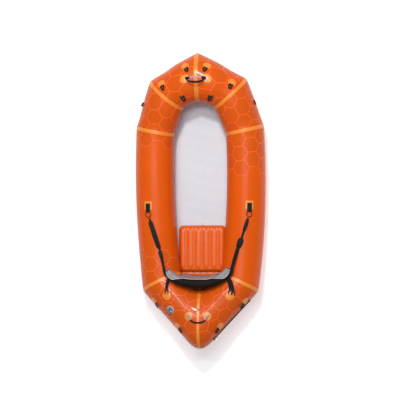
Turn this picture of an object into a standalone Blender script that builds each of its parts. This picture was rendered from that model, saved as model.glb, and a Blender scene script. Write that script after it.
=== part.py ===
"""One-person packraft: an inflatable hull tube of eight panels, its floor, seat, backrest and fittings.

The bow points to +Y, +X is the paddler's right, +Z is up and the floor sheet lies on z = 0.
The right half of the hull is described once, panel by panel from the bow apex to the stern apex.
The left half is its mirror image.
"""
import math
from collections import namedtuple

import bmesh
import bpy
from mathutils import Matrix, Vector

# ---- clearances and sheet thicknesses (metres)
GAP = 0.0003             # between pieces that touch on the real boat
JOIN_GAP = 0.00025       # half the gap left where two hull panels meet
TUBE_WALL = 0.0012
FLOOR_THICK = 0.0012
TAPE_LIFT = 0.0014       # underside of a seam tape above the tube
TAPE_THICK = 0.0010
PATCH_LIFT = 0.0016      # underside of a glued patch above the tube
PATCH_THICK = 0.0010

# ---- hull tube: corners of its centre line in plan, from the bow apex to the stern apex
Corner = namedtuple("Corner", "place radius height slope mitre_reach")
# height is the lift above the level middle, slope is its change along the tube going aft,
# mitre_reach is how far the mitre cut runs along the tube on either side of the corner
BOW_APEX = Corner(Vector((0.0, 0.9630)), 0.1650, 0.100, 0.00, 0.088)
BOW_CORNER = Corner(Vector((0.2500, 0.8350)), 0.1560, 0.070, -0.19, 0.064)
SHOULDER = Corner(Vector((0.3535, 0.5520)), 0.1500, 0.012, -0.09, 0.026)
STERN_CORNER = Corner(Vector((0.3060, -0.6400)), 0.1540, 0.035, 0.15, 0.054)
STERN_APEX = Corner(Vector((0.0, -0.9700)), 0.1520, 0.100, 0.15, 0.168)
CORNERS = (BOW_APEX, BOW_CORNER, SHOULDER, STERN_CORNER, STERN_APEX)
SIDE_BULGE = 0.0270      # how far the long side panel bows outwards
LEVEL_FROM = 0.2200      # the hull is level between these distances aft of the shoulder
LEVEL_TO = 0.7200
SECTIONS = 24            # sides of the tube's cross-section
TIP_CUT = 0.0470         # how far the stern's tip is drawn in where its two panels meet
TIP_REACH = 0.0950       # from the middle of the boat
TIP_FILL = 0.0560         # how far the same seam is filled in on the cockpit side
FILL_REACH = 0.1400       # from the middle of the boat
STERN_SHARES = (0.0, 0.25, 0.5, 0.70, 0.82, 0.91, 1.0)   # where the stern panel's rings lie

# ---- seam tapes
TAPE_WIDTH = 0.0280
CENTRE_TAPE_WIDTH = 0.0350
TAPE_FROM = -30          # degrees round the section, 0 outboard, 90 on top, 180 inboard
TAPE_TO = 210

# ---- floor sheet
FLOOR_WRAP = (-60, -75, -90)   # from its outer edge to the tube's underside

# ---- patches and webbing loops
LOOP_PATCH_R = 0.0310
LOOP_HALF_WIDTH = 0.0120
LOOP_REACH = 0.0380
LOOP_STRAP = 0.0110
LOOP_THICK = 0.0025
LOOP_TILT = 14           # degrees that a loop stands off the tube
HANDLE_PATCH_R = 0.0320
STRAP_PATCH_R = 0.0340

# ---- carrying handles; at is metres along the panel from its first corner and degrees round it
BOW_HANDLE_AT = (0.084, 87)
BOW_HANDLE_HALF_SPAN = 0.0660
BOW_HANDLE_DEPTH = 0.0460
BOW_HANDLE_STRAP = (0.0220, 0.0030)     # width and thickness
BOW_HANDLE_RISE = 0.0130                # hinge line above the patches
BOW_HANDLE_LEAN = 45                    # degrees above level at rest
STERN_HANDLE_AT = (0.360, 92.5)
STERN_HANDLE_HALF_SPAN = 0.0640
STERN_HANDLE_DEPTH = 0.0460
STERN_HANDLE_CORD_R = 0.0055
STERN_HANDLE_RISE = 0.0060
STERN_HANDLE_LEAN = 15

# ---- valve and zip
VALVE_AT = (0.2235, 64.5)
VALVE_BODY = ((0.0, 0.0), (0.0310, 0.0), (0.0310, 0.0020), (0.0295, 0.0032),
              (0.0190, 0.0032), (0.0190, 0.0090), (0.0, 0.0090))
VALVE_CAP = ((0.0, 0.0125), (0.0215, 0.0125), (0.0235, 0.0110), (0.0235, 0.0036),
             (0.0194, 0.0036), (0.0194, 0.0094), (0.0, 0.0094))
ZIP_FROM = 0.0450
ZIP_TO = 0.4580
ZIP_DEGREES = 14
ZIP_LIFT = 0.0016
ZIP_SECTION = ((-0.011, 0.0), (0.011, 0.0), (0.011, 0.0012), (0.004, 0.0016), (0.003, 0.0050),
               (-0.003, 0.0050), (-0.004, 0.0016), (-0.011, 0.0012))
SLIDER_REST = 0.3945     # from the zip's forward end
SLIDER_HALF_WIDTHS = (0.0085, 0.0070)   # at its top and at its underside
SLIDER_HEIGHTS = (0.0096, 0.0053)

# ---- seat cushion
SEAT_WIDTH = 0.3760
SEAT_FRONT = -0.1960
SEAT_REAR = -0.5640
SEAT_THICK = 0.0620
SEAT_RIBS = 6
SEAT_TILT = 3.6          # degrees, its rear follows the rising floor
SEAT_HEIGHT = 0.0500     # of its middle above the ground
SEAT_EDGE = 0.30         # share of full thickness left at its front and rear edges
SEAT_SHOULDER = 0.0220   # length over which it swells to full thickness
SEAT_VALVE = ((0.0, 0.0), (0.0080, 0.0), (0.0080, 0.0060), (0.0055, 0.0075),
              (0.0055, 0.0170), (0.0, 0.0170))
SEAT_VALVE_X = 0.0

# ---- backrest
BACK_HALF_WIDTH = 0.2500
BACK_FRONT_Y = -0.5810
BACK_CURL = 0.0950       # how far its ends reach forward of its middle
BACK_BOTTOM = 0.1080
BACK_TOP = 0.4050
BACK_LEAN = 3            # degrees
BACK_THICK_MIDDLE = 0.0750
BACK_THICK_END = 0.0500
BACK_CLEAR = 0.0120      # between the pad and the tubes round it
BACK_LEVELS = (BACK_BOTTOM, 0.160, 0.210, 0.260, 0.305, 0.345, 0.375, BACK_TOP)
BACK_COLUMNS = 9

# ---- straps; each route spot is (metres along the panel, degrees round it, lift)
STRAP_THICK = 0.0030
STRAP_ANCHOR = (0.585, 76)
STRAP_ANCHOR_SIZE = (0.070, 0.066)
RING_AT = (0.653, 76, 0.0075)
RING_PROFILE = ((0.0185, -0.0025), (0.0235, -0.0025), (0.0235, 0.0025), (0.0185, 0.0025), (0.0185, -0.0025))
FRONT_STRAP_FROM = (0.684, 79, 0.0060)
FRONT_STRAP_TO = (1.030, 110, 0.0460)
FRONT_STRAP_WIDTHS = (0.012, 0.032, 0.032, 0.032, 0.032, 0.032, 0.032, 0.026)
REAR_STRAP = ((0.047, 118, 0.0220), (0.060, 110, 0.0140), (0.078, 102, 0.0080), (0.098, 94, 0.0060))
REAR_STRAP_WIDTHS = (0.028, 0.026, 0.020, 0.016)
REAR_PATCH_AT = (0.128, 84.5)


class Panel:
    """One straight or gently bowed tube panel of the right half, from corner a to corner b."""

    def __init__(self, name, start, end, path_start, bulge=0.0, shares=()):
        self.name = name
        self.a = start.place
        self.chord = end.place - start.place
        self.length = self.chord.length
        self.ends = (start, end)
        self.path_start = path_start
        self.bulge = bulge
        self.shares = shares
        self.mitre = [None, None]
        self.roll = [0.0, 0.0]

    def plan(self, t):
        """Centre point and unit direction of travel in plan."""
        along = self.chord / self.length
        out = Vector((-along.y, along.x))
        point = self.a + self.chord * t + out * (4 * self.bulge * t * (1 - t))
        return point, (self.chord + out * (4 * self.bulge * (1 - 2 * t))).normalized()

    def radius(self, x):
        """The radius holds steady as far as each corner's mitre reaches, and eases between."""
        start, end = self.ends
        part = (x - start.mitre_reach) / (self.length - start.mitre_reach - end.mitre_reach)
        part = min(max(part, 0.0), 1.0)
        return start.radius + (end.radius - start.radius) * part * part * (3 - 2 * part)

    def axes(self, x):
        """Centre, unit tangent, outboard direction and upward direction at x metres along the panel."""
        near = min(max(x, 0.0), self.length)
        place, head = self.plan(near / self.length)
        height, slope = rise(self.path_start + near)
        tangent = Vector((head.x, head.y, slope)).normalized()
        out = Vector((-head.y, head.x, 0.0))
        centre = Vector((place.x, place.y, FLOOR_THICK + GAP + self.radius(near) + height))
        return centre + tangent * (x - near), tangent, out, tangent.cross(out)

    def spot(self, x, degrees, lift=0.0):
        """Point on the tube, this far along it and round it."""
        centre, _, out, up = self.axes(x)
        phi = math.radians(degrees)
        point = centre + (out * math.cos(phi) + up * math.sin(phi)) * (self.radius(x) + lift)
        if self.ends[1] is STERN_APEX:
            near = max(0.0, 1 - max(point.x, 0.0) / TIP_REACH)
            point.y += TIP_CUT * max(math.cos(phi), 0.0) * near * near
            near = max(0.0, 1 - max(point.x, 0.0) / FILL_REACH)
            point.y += TIP_FILL * max(-math.cos(phi), 0.0) * near * near
        return point

    def spot_axes(self, x, degrees):
        """Unit directions at that spot: along the panel, round the tube (rising degrees) and outward."""
        _, tangent, out, up = self.axes(x)
        phi = math.radians(degrees)
        return tangent, up * math.cos(phi) - out * math.sin(phi), out * math.cos(phi) + up * math.sin(phi)

    def mitre_distance(self, end, degrees, lift, shift):
        """How far along the panel this line round the tube meets the end's mitre plane."""
        x = self.length * end
        corner, tangent, _, _ = self.axes(x)
        for _ in range(4):
            missed = shift - (self.spot(x, degrees + self.roll[end], lift) - corner).dot(self.mitre[end])
            x += missed / tangent.dot(self.mitre[end])
        return x

    def ring_point(self, t, degrees, lift=0.0, shift=0.0):
        """Point of the ring that lies a share t of the way from the first mitre to the second."""
        first = self.mitre_distance(0, degrees, lift, shift if t == 0 else 0.0)
        last = self.mitre_distance(1, degrees, lift, shift if t == 1 else 0.0)
        turn = self.roll[0] * (1 - t) + self.roll[1] * t
        return self.spot(first + (last - first) * t, degrees + turn, lift)


def rise(path):
    """Lift of the tube's centre line and its slope, at this path length from the bow apex."""
    for (s0, h0, m0), (s1, h1, m1) in zip(PROFILE, PROFILE[1:]):
        if path <= s1:
            span = s1 - s0
            u = (path - s0) / span
            height = (h0 * (2 * u ** 3 - 3 * u ** 2 + 1) + m0 * span * (u ** 3 - 2 * u ** 2 + u)
                      + h1 * (3 * u ** 2 - 2 * u ** 3) + m1 * span * (u ** 3 - u ** 2))
            slope = ((h0 - h1) * (6 * u ** 2 - 6 * u) / span + m0 * (3 * u ** 2 - 4 * u + 1)
                     + m1 * (3 * u ** 2 - 2 * u))
            return height, slope
    return PROFILE[-1][1:]


def lay_out_profile():
    """Height and slope knots along the path: straight through each corner, level amidships."""
    knots = []
    path = 0.0
    for corner, after in zip(CORNERS, CORNERS[1:] + (None,)):
        reach = corner.mitre_reach
        for step in (-reach, reach):
            if 0.0 <= path + step or corner is not CORNERS[0]:
                knots.append((path + step, corner.height + corner.slope * step, corner.slope))
        if corner is SHOULDER:
            knots.append((path + LEVEL_FROM, 0.0, 0.0))
            knots.append((path + LEVEL_TO, 0.0, 0.0))
        if after:
            path += (after.place - corner.place).length
    knots.insert(0, (0.0, BOW_APEX.height, BOW_APEX.slope))
    return knots


def even_shares(count):
    return tuple(i / (count - 1) for i in range(count))


def lay_out_panels():
    """The right half's four panels, from the bow apex to the stern apex."""
    panels = []
    path = 0.0
    names = (("bow", even_shares(5), 0.0), ("shoulder", even_shares(5), 0.0),
             ("side", even_shares(12), SIDE_BULGE), ("stern", STERN_SHARES, 0.0))
    for i, (name, shares, bulge) in enumerate(names):
        panel = Panel(name, CORNERS[i], CORNERS[i + 1], path, bulge, shares)
        path += panel.length
        panels.append(panel)
    return panels


def set_mitres(panels):
    """Each joint's plane halves the angle between the two tubes; the apex planes are upright at x = 0.

    roll turns each ring's points so that the two tubes' facets meet corner to corner.
    """
    for before, after in zip(panels, panels[1:]):
        _, ahead, out, _ = before.axes(before.length)
        _, onward, out_after, up_after = after.axes(0.0)
        normal = (ahead + onward).normalized()
        before.mitre[1] = normal
        after.mitre[0] = normal
        seen = out - normal * (2 * out.dot(normal))
        twist = math.degrees(math.atan2(seen.dot(up_after), seen.dot(out_after)))
        before.roll[1] = -twist / 2
        after.roll[0] = twist / 2
    panels[0].mitre[0] = Vector((1, 0, 0))
    panels[-1].mitre[1] = Vector((-1, 0, 0))


PROFILE = lay_out_profile()
PANELS = lay_out_panels()
set_mitres(PANELS)
BOW, SHOULDER_PANEL, SIDE, STERN = PANELS


# ---- materials: name, colour, roughness, metallic
def material(name, colour, roughness, metallic=0.0):
    made = bpy.data.materials.new(name)
    made.use_nodes = True
    shader = made.node_tree.nodes["Principled BSDF"]
    shader.inputs["Base Color"].default_value = (*colour, 1.0)
    shader.inputs["Roughness"].default_value = roughness
    shader.inputs["Metallic"].default_value = metallic
    return made


# ---- mesh helpers
def mirrored(point):
    return Vector((-point.x, point.y, point.z))


def add_object(name, mesh_data, looks, place=None):
    mesh_data.materials.append(looks)
    made = bpy.data.objects.new(name, mesh_data)
    bpy.context.scene.collection.objects.link(made)
    if place is not None:
        made.matrix_world = place
    return made


def closed_mesh(name, points, faces, sharp=40):
    """A mesh with coincident points merged and its faces turned outwards."""
    work = bmesh.new()
    verts = [work.verts.new(p) for p in points]
    for face in faces:
        work.faces.new([verts[i] for i in face])
    bmesh.ops.remove_doubles(work, verts=work.verts, dist=0.00001)
    bmesh.ops.recalc_face_normals(work, faces=work.faces)
    made = bpy.data.meshes.new(name)
    work.to_mesh(made)
    work.free()
    made.shade_smooth()
    made.set_sharp_from_angle(angle=math.radians(sharp))
    return made


def slab(name, top, bottom, wrap=False, open_ends=False):
    """A sheet between two grids of points.

    wrap joins each row's ends, open_ends leaves out the end walls so that the end rows weld shut.
    """
    rows = len(top)
    columns = len(top[0])
    points = [p for row in top for p in row] + [p for row in bottom for p in row]
    under = rows * columns
    faces = []
    spans = columns if wrap else columns - 1
    for i in range(rows - 1):
        for j in range(spans):
            quad = [i * columns + j, i * columns + (j + 1) % columns,
                    (i + 1) * columns + (j + 1) % columns, (i + 1) * columns + j]
            faces.append(quad)
            faces.append([under + k for k in reversed(quad)])
    if not wrap:
        for i in range(rows - 1):
            for j in (0, columns - 1):
                a = i * columns + j
                faces.append([a, a + columns, under + a + columns, under + a])
    if not open_ends:
        for i in (0, rows - 1):
            for j in range(spans):
                a = i * columns + j
                b = i * columns + (j + 1) % columns
                faces.append([a, b, under + b, under + a])
    return closed_mesh(name, points, faces)


def loft(name, rings, sharp=40):
    """A solid through closed rings of points, with a fan cap at each end."""
    count = len(rings[0])
    points = [p for ring in rings for p in ring]
    faces = []
    for i in range(len(rings) - 1):
        for j in range(count):
            k = (j + 1) % count
            faces.append([i * count + j, i * count + k, (i + 1) * count + k, (i + 1) * count + j])
    for start in (0, (len(rings) - 1) * count):
        middle = sum((points[start + j] for j in range(count)), Vector()) / count
        points.append(middle)
        for j in range(count):
            faces.append([start + j, start + (j + 1) % count, len(points) - 1])
    return closed_mesh(name, points, faces, sharp)


def turned(name, profile, sides=20):
    """A solid of revolution about Z from (radius, height) points; radius 0 closes it on the axis."""
    points = []
    rows = []
    for radius, height in profile:
        if radius == 0.0:
            rows.append([len(points)] * sides)
            points.append(Vector((0, 0, height)))
            continue
        rows.append([len(points) + k for k in range(sides)])
        for k in range(sides):
            turn = 2 * math.pi * k / sides
            points.append(Vector((radius * math.cos(turn), radius * math.sin(turn), height)))
    faces = []
    for low, high in zip(rows, rows[1:]):
        for k in range(sides):
            loop = [low[k], low[(k + 1) % sides], high[(k + 1) % sides], high[k]]
            faces.append(list(dict.fromkeys(loop)))
    return closed_mesh(name, points, faces)


def strip(name, centres, normals, widths, thick):
    """A flat strap along a line of points; normals say which way its face looks."""
    rings = []
    for i, centre in enumerate(centres):
        ahead = centres[min(i + 1, len(centres) - 1)]
        behind = centres[max(i - 1, 0)]
        side = (ahead - behind).normalized().cross(normals[i]).normalized()
        face = side.cross((ahead - behind).normalized())
        half = side * (widths[i] / 2)
        deep = face * (thick / 2)
        rings.append([centre + half + deep, centre - half + deep, centre - half - deep, centre + half - deep])
    return loft(name, rings)


def placed(origin, x_axis, y_axis, z_axis):
    """The matrix of a local frame with these unit axes."""
    frame = Matrix((x_axis, y_axis, z_axis)).transposed().to_4x4()
    frame.translation = origin
    return frame


def by_side(side, point):
    return point if side == "right" else mirrored(point)


# ---- the hull tube
def hull_panel(panel, side, looks):
    outer = []
    inner = []
    for t in panel.shares:
        shift = JOIN_GAP if t == 0 else -JOIN_GAP if t == 1 else 0.0
        turns = [360 * k / SECTIONS for k in range(SECTIONS)]
        outer.append([by_side(side, panel.ring_point(t, phi, 0.0, shift)) for phi in turns])
        inner.append([by_side(side, panel.ring_point(t, phi, -TUBE_WALL, shift)) for phi in turns])
    name = f"{panel.name}_panel_{side}"
    add_object(name, slab(name, outer, inner, wrap=True), looks)


def tape_edge(panel, end, degrees, reach, lift):
    """Point of a tape's edge, reach metres in from the panel's end along its surface."""
    x = panel.mitre_distance(end, degrees, lift, 0.0)
    inward = reach if end == 0 else -reach
    return panel.spot(x + inward, degrees + panel.roll[end], lift)


def seam_tape(name, before, after, width, looks):
    """A band over the joint of two panels; each of before and after is (panel, end, side)."""
    turns = range(TAPE_FROM, TAPE_TO + 1, 360 // SECTIONS)
    grids = []
    for lift in (TAPE_LIFT + TAPE_THICK, TAPE_LIFT):
        rows = []
        for (panel, end, side), reach in ((before, width / 2), (before, 0.0), (after, width / 2)):
            rows.append([by_side(side, tape_edge(panel, end, d, reach, lift)) for d in turns])
        grids.append(rows)
    add_object(name, slab(name, *grids), looks)


def floor_sheet(looks):
    """The floor lies flat between the tubes' undersides and wraps a little way up their outer sides."""
    grids = []
    for lift in (GAP, GAP + FLOOR_THICK):
        rows = []
        for panel in PANELS:
            for t in panel.shares:
                if t == 0 and panel is not BOW:
                    continue
                right = [panel.ring_point(t, d, lift) for d in FLOOR_WRAP]
                rows.append(right + [mirrored(p) for p in reversed(right)])
        grids.append(rows)
    add_object("floor_sheet", slab("floor_sheet", *grids, open_ends=True), looks)


# ---- patches, loops and handles
def round_patch(name, panel, x, degrees, radius, side, looks, sides=12):
    points = []
    for lift in (PATCH_LIFT + PATCH_THICK, PATCH_LIFT):
        points.append(by_side(side, panel.spot(x, degrees, lift)))
        for k in range(sides):
            turn = 2 * math.pi * k / sides
            around = degrees + math.degrees(radius * math.sin(turn) / panel.radius(x))
            points.append(by_side(side, panel.spot(x + radius * math.cos(turn), around, lift)))
    faces = []
    under = sides + 1
    for k in range(sides):
        a = 1 + k
        b = 1 + (k + 1) % sides
        faces.append([0, a, b])
        faces.append([under, under + b, under + a])
        faces.append([a, b, under + b, under + a])
    add_object(name, closed_mesh(name, points, faces), looks)


def square_patch(name, panel, x, degrees, long, wide, side, looks, steps=4):
    """A sheet glued on the tube, long along it and wide round it."""
    grids = []
    for lift in (PATCH_LIFT + PATCH_THICK, PATCH_LIFT):
        rows = []
        for i in range(3):
            row = []
            for j in range(steps + 1):
                around = degrees + math.degrees(wide * (j / steps - 0.5) / panel.radius(x))
                row.append(by_side(side, panel.spot(x + long * (i / 2 - 0.5), around, lift)))
            rows.append(row)
        grids.append(rows)
    add_object(name, slab(name, *grids), looks)


def loop_mesh(name):
    """A narrow webbing loop in its own plane: both ends on the X axis, its tip at +Y."""
    outline = ((-1.0, 0.0), (-0.92, 0.30), (-0.72, 0.62), (-0.40, 0.86), (0.0, 0.93),
               (0.40, 0.86), (0.72, 0.62), (0.92, 0.30), (1.0, 0.0))
    reach = LOOP_REACH - LOOP_STRAP / 2
    centres = [Vector((x * LOOP_HALF_WIDTH, y * reach / 0.93, 0.0)) for x, y in outline]
    up = [Vector((0, 0, 1))] * len(centres)
    return strip(name, centres, up, [LOOP_STRAP] * len(centres), LOOP_THICK)


def webbing_loop(name, panel, x, degrees, towards, side, looks):
    """A loop whose two ends are held at this spot; towards is 'over', 'under' or 'aft' on the tube."""
    along, round_up, out = panel.spot_axes(x, degrees)
    reach = {"over": round_up, "under": -round_up, "aft": along}[towards]
    hinge = by_side(side, panel.spot(x, degrees, PATCH_LIFT + PATCH_THICK + 0.0028))
    reach = by_side(side, reach)
    out = by_side(side, out)
    tilt = math.radians(LOOP_TILT)
    reach, out = (reach * math.cos(tilt) + out * math.sin(tilt),
                  out * math.cos(tilt) - reach * math.sin(tilt))
    add_object(name, loop_mesh(name), looks, placed(hinge, reach.cross(out), reach, out))


TIE_DOWNS = (
    # name, panel, x along it, degrees round it, way the loop points, patch modelled
    ("bow_inner", BOW, 0.045, 54, "over", True),
    ("bow_outer", BOW, 0.244, 63, "over", True),
    ("bow_cockpit", BOW, 0.152, 118, "over", False),
    ("shoulder_side", SHOULDER_PANEL, 0.128, 4, "over", False),
    ("stern_upper", STERN, 0.079, 34, "aft", True),
    ("stern_lower", STERN, 0.3475, 40, "aft", True),
)


def tie_downs(patch_looks, loop_looks):
    """A round patch and a webbing loop at each tie-down point, on both sides."""
    for name, panel, x, place, towards, has_patch in TIE_DOWNS:
        for side in ("left", "right"):
            if has_patch:
                round_patch(f"{name}_patch_{side}", panel, x, place, LOOP_PATCH_R, side, patch_looks)
            edge = LOOP_PATCH_R - 0.004
            if towards == "aft":
                webbing_loop(f"{name}_loop_{side}", panel, x + edge, place, towards, side, loop_looks)
                continue
            turn = math.degrees(edge / panel.radius(x))
            webbing_loop(f"{name}_loop_{side}", panel, x, place + turn, towards, side, loop_looks)


def handle_frame(root, rise_by, lean_degrees):
    """Local frame of a handle hinged across the boat: Y points the way it reaches, aft and upwards."""
    lean = math.radians(lean_degrees)
    reach = Vector((0, -math.cos(lean), math.sin(lean)))
    face = Vector((0, math.sin(lean), math.cos(lean)))
    return placed(Vector((0, root.y, root.z + rise_by)), reach.cross(face), reach, face)


def bow_handle(patch_looks, loop_looks):
    """A webbing strap arched between two patches, lying over towards the cockpit."""
    x, degrees = BOW_HANDLE_AT
    for side in ("left", "right"):
        round_patch(f"bow_handle_patch_{side}", BOW, x, degrees, HANDLE_PATCH_R, side, patch_looks)
    root = BOW.spot(x, degrees, PATCH_LIFT + PATCH_THICK)
    wide, thick = BOW_HANDLE_STRAP
    steps = 8
    turns = [math.pi * k / steps for k in range(steps + 1)]
    span = BOW_HANDLE_HALF_SPAN
    centres = [Vector((span * math.cos(t), BOW_HANDLE_DEPTH * math.sin(t) ** 0.6, 0.0)) for t in turns]
    high = Vector((0, 0, wide / 2))
    rings = []
    for i, centre in enumerate(centres):
        run = centres[min(i + 1, steps)] - centres[max(i - 1, 0)]
        inward = run.normalized().cross(Vector((0, 0, 1))) * (thick / 2)
        rings.append([centre + inward + high, centre - inward + high,
                      centre - inward - high, centre + inward - high])
    frame = handle_frame(root, BOW_HANDLE_RISE, BOW_HANDLE_LEAN)
    add_object("bow_handle", loft("bow_handle", rings), loop_looks, frame)


def stern_handle(patch_looks, loop_looks):
    """A round cord that hangs aft in an arc between two patches."""
    x, degrees = STERN_HANDLE_AT
    for side in ("left", "right"):
        round_patch(f"stern_handle_patch_{side}", STERN, x, degrees, HANDLE_PATCH_R, side, patch_looks)
    root = STERN.spot(x, degrees, PATCH_LIFT + PATCH_THICK)
    span = STERN_HANDLE_HALF_SPAN
    depth = STERN_HANDLE_DEPTH
    radius = STERN_HANDLE_CORD_R
    steps = 10
    sides = 8
    rings = []
    for k in range(steps + 1):
        turn = math.pi * k / steps
        centre = Vector((span * math.cos(turn), depth * math.sin(turn), 0.0))
        run = Vector((-span * math.sin(turn), depth * math.cos(turn), 0.0)).normalized()
        across = run.cross(Vector((0, 0, 1)))
        ring = []
        for j in range(sides):
            spin = 2 * math.pi * j / sides
            ring.append(centre + across * radius * math.cos(spin) + Vector((0, 0, radius * math.sin(spin))))
        rings.append(ring)
    frame = handle_frame(root, radius + STERN_HANDLE_RISE, STERN_HANDLE_LEAN)
    add_object("stern_handle", loft("stern_handle", rings), loop_looks, frame)


# ---- valves and zip
def main_valve(body_looks, cap_looks):
    """A one-way valve on the left stern panel: a flanged body with a neck, and a cap that unscrews."""
    x, degrees = VALVE_AT
    along, _, out = (mirrored(v) for v in STERN.spot_axes(x, degrees))
    seat = mirrored(STERN.spot(x, degrees, PATCH_LIFT + 0.0025))
    frame = placed(seat, along, out.cross(along), out)
    add_object("valve_body", turned("valve_body", VALVE_BODY), body_looks, frame)
    add_object("valve_cap", turned("valve_cap", VALVE_CAP), cap_looks, frame)


def cargo_zip(tape_looks, slider_looks):
    """An airtight zip along the outer side of the right stern panel, and its slider."""
    start = STERN.spot(ZIP_FROM, ZIP_DEGREES, ZIP_LIFT)
    end = STERN.spot(ZIP_TO, ZIP_DEGREES, ZIP_LIFT)
    run = (end - start).normalized()
    out = STERN.spot_axes((ZIP_FROM + ZIP_TO) / 2, ZIP_DEGREES)[2]
    out = (out - run * out.dot(run)).normalized()
    across = out.cross(run)
    rings = [[at + across * u + out * v for u, v in ZIP_SECTION] for at in (start, end)]
    add_object("cargo_zip", loft("cargo_zip", rings), tape_looks)
    block = []
    for along, share in ((-0.012, 0.75), (-0.007, 1.0), (0.007, 1.0), (0.012, 0.75)):
        (top, under), (high, low) = SLIDER_HALF_WIDTHS, SLIDER_HEIGHTS
        corners = ((-top, high), (top, high), (under, low), (-under, low))
        block.append([Vector((along, u * share, v)) for u, v in corners])
    frame = placed(start + run * SLIDER_REST, run, across, out)
    add_object("zip_slider", loft("zip_slider", block), slider_looks, frame)


# ---- seat, backrest and straps
def seat_cushion(looks, valve_looks):
    """A ribbed air cushion: its section is a row of round ribs, drawn in at both ends."""
    facets = 4
    rib = SEAT_WIDTH / SEAT_RIBS
    crests = []
    for r in range(SEAT_RIBS):
        for k in range(facets):
            turn = math.pi * k / facets
            x = rib * (r + 0.5 - 0.5 * math.cos(turn)) - SEAT_WIDTH / 2
            crests.append((x, 0.30 + 0.20 * math.sin(turn)))
    crests.append((SEAT_WIDTH / 2, 0.30))
    section = crests + [(x, -z) for x, z in reversed(crests)]
    length = SEAT_FRONT - SEAT_REAR
    stations = ((0.0, SEAT_EDGE, 0.965), (SEAT_SHOULDER, 1.0, 1.0),
                (length - SEAT_SHOULDER, 1.0, 1.0), (length, SEAT_EDGE, 0.965))
    rings = []
    for y, full, narrow in stations:
        rings.append([Vector((x * narrow, y - length / 2, z * full * SEAT_THICK)) for x, z in section])
    middle = Vector((0.0, (SEAT_FRONT + SEAT_REAR) / 2, SEAT_HEIGHT))
    frame = Matrix.Translation(middle) @ Matrix.Rotation(math.radians(-SEAT_TILT), 4, "X")
    add_object("seat_cushion", loft("seat_cushion", rings), looks, frame)
    at = frame @ Vector((SEAT_VALVE_X, length / 2 + 0.0004, 0.0))
    forward = frame.to_3x3() @ Vector((0, 1, 0))
    across = Vector((1, 0, 0))
    valve_frame = placed(at, across, forward.cross(across), forward)
    add_object("seat_valve", turned("seat_valve", SEAT_VALVE, sides=12), valve_looks, valve_frame)


def hull_clearance(point):
    """Distance from a point to the nearest tube surface, negative inside a tube."""
    best = 1.0
    probe = Vector((abs(point.x), point.y, point.z))
    for panel in PANELS:
        for i in range(41):
            x = panel.length * i / 40
            best = min(best, (probe - panel.axes(x)[0]).length - panel.radius(x))
    return best


def backrest(looks):
    """A curved pad between the tubes; its back and ends are held clear of them."""
    rings = []
    for z in BACK_LEVELS:
        lean = (z - BACK_BOTTOM) * math.tan(math.radians(BACK_LEAN))

        def front(x):
            return BACK_FRONT_Y - lean + BACK_CURL * (abs(x) / BACK_HALF_WIDTH) ** 3

        def tightest(x):
            return min(hull_clearance(Vector((x, front(x) - back, z))) for back in (0, BACK_THICK_END))

        half = BACK_HALF_WIDTH
        while tightest(half) < BACK_CLEAR:
            half -= 0.002
        ahead = []
        behind = []
        for k in range(BACK_COLUMNS):
            x = half * (2 * k / (BACK_COLUMNS - 1) - 1)
            thick = BACK_THICK_MIDDLE + (BACK_THICK_END - BACK_THICK_MIDDLE) * abs(x / BACK_HALF_WIDTH) ** 2
            y = front(x) - thick
            while hull_clearance(Vector((x, y, z))) < BACK_CLEAR and y < front(x) - 0.012:
                y += 0.001
            ahead.append(Vector((x, front(x), z)))
            behind.append(Vector((x, y, z)))
        rings.append(ahead + behind[::-1])
    add_object("backrest", loft("backrest", rings), looks)


def strap_on_tube(name, route, widths, side, looks):
    """A strap laid along spots on the tube; each is (panel, x, degrees, lift)."""
    centres = [by_side(side, panel.spot(x, degrees, lift)) for panel, x, degrees, lift in route]
    normals = [by_side(side, panel.spot_axes(x, degrees)[2]) for panel, x, degrees, lift in route]
    add_object(name, strip(name, centres, normals, widths, STRAP_THICK), looks)


def front_route():
    """Spots from the ring to the backrest's end; the strap lifts off the tube towards its last spot."""
    (x0, d0, lift0), (x1, d1, lift1) = FRONT_STRAP_FROM, FRONT_STRAP_TO
    last = len(FRONT_STRAP_WIDTHS) - 1
    shares = [k / last for k in range(last + 1)]
    return [(SIDE, x0 + (x1 - x0) * u, d0 + (d1 - d0) * u, lift0 + (lift1 - lift0) * u ** 6) for u in shares]


def straps(patch_looks, strap_looks, ring_looks):
    """Front straps run from rings on the side tubes to the backrest's ends, rear straps from the stern."""
    for side in ("left", "right"):
        square_patch(f"front_strap_patch_{side}", SIDE, *STRAP_ANCHOR, *STRAP_ANCHOR_SIZE, side, patch_looks)
        x, degrees, lift = RING_AT
        along, _, out = (by_side(side, v) for v in SIDE.spot_axes(x, degrees))
        centre = by_side(side, SIDE.spot(x, degrees, lift))
        name = f"front_strap_ring_{side}"
        frame = placed(centre, along, out.cross(along), out)
        add_object(name, turned(name, RING_PROFILE, sides=16), ring_looks, frame)
        strap_on_tube(f"front_strap_{side}", front_route(), FRONT_STRAP_WIDTHS, side, strap_looks)
        rear = [(STERN, *spot) for spot in REAR_STRAP]
        strap_on_tube(f"rear_strap_{side}", rear, REAR_STRAP_WIDTHS, side, strap_looks)
        round_patch(f"rear_strap_patch_{side}", STERN, *REAR_PATCH_AT, STRAP_PATCH_R, side, patch_looks)


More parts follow.
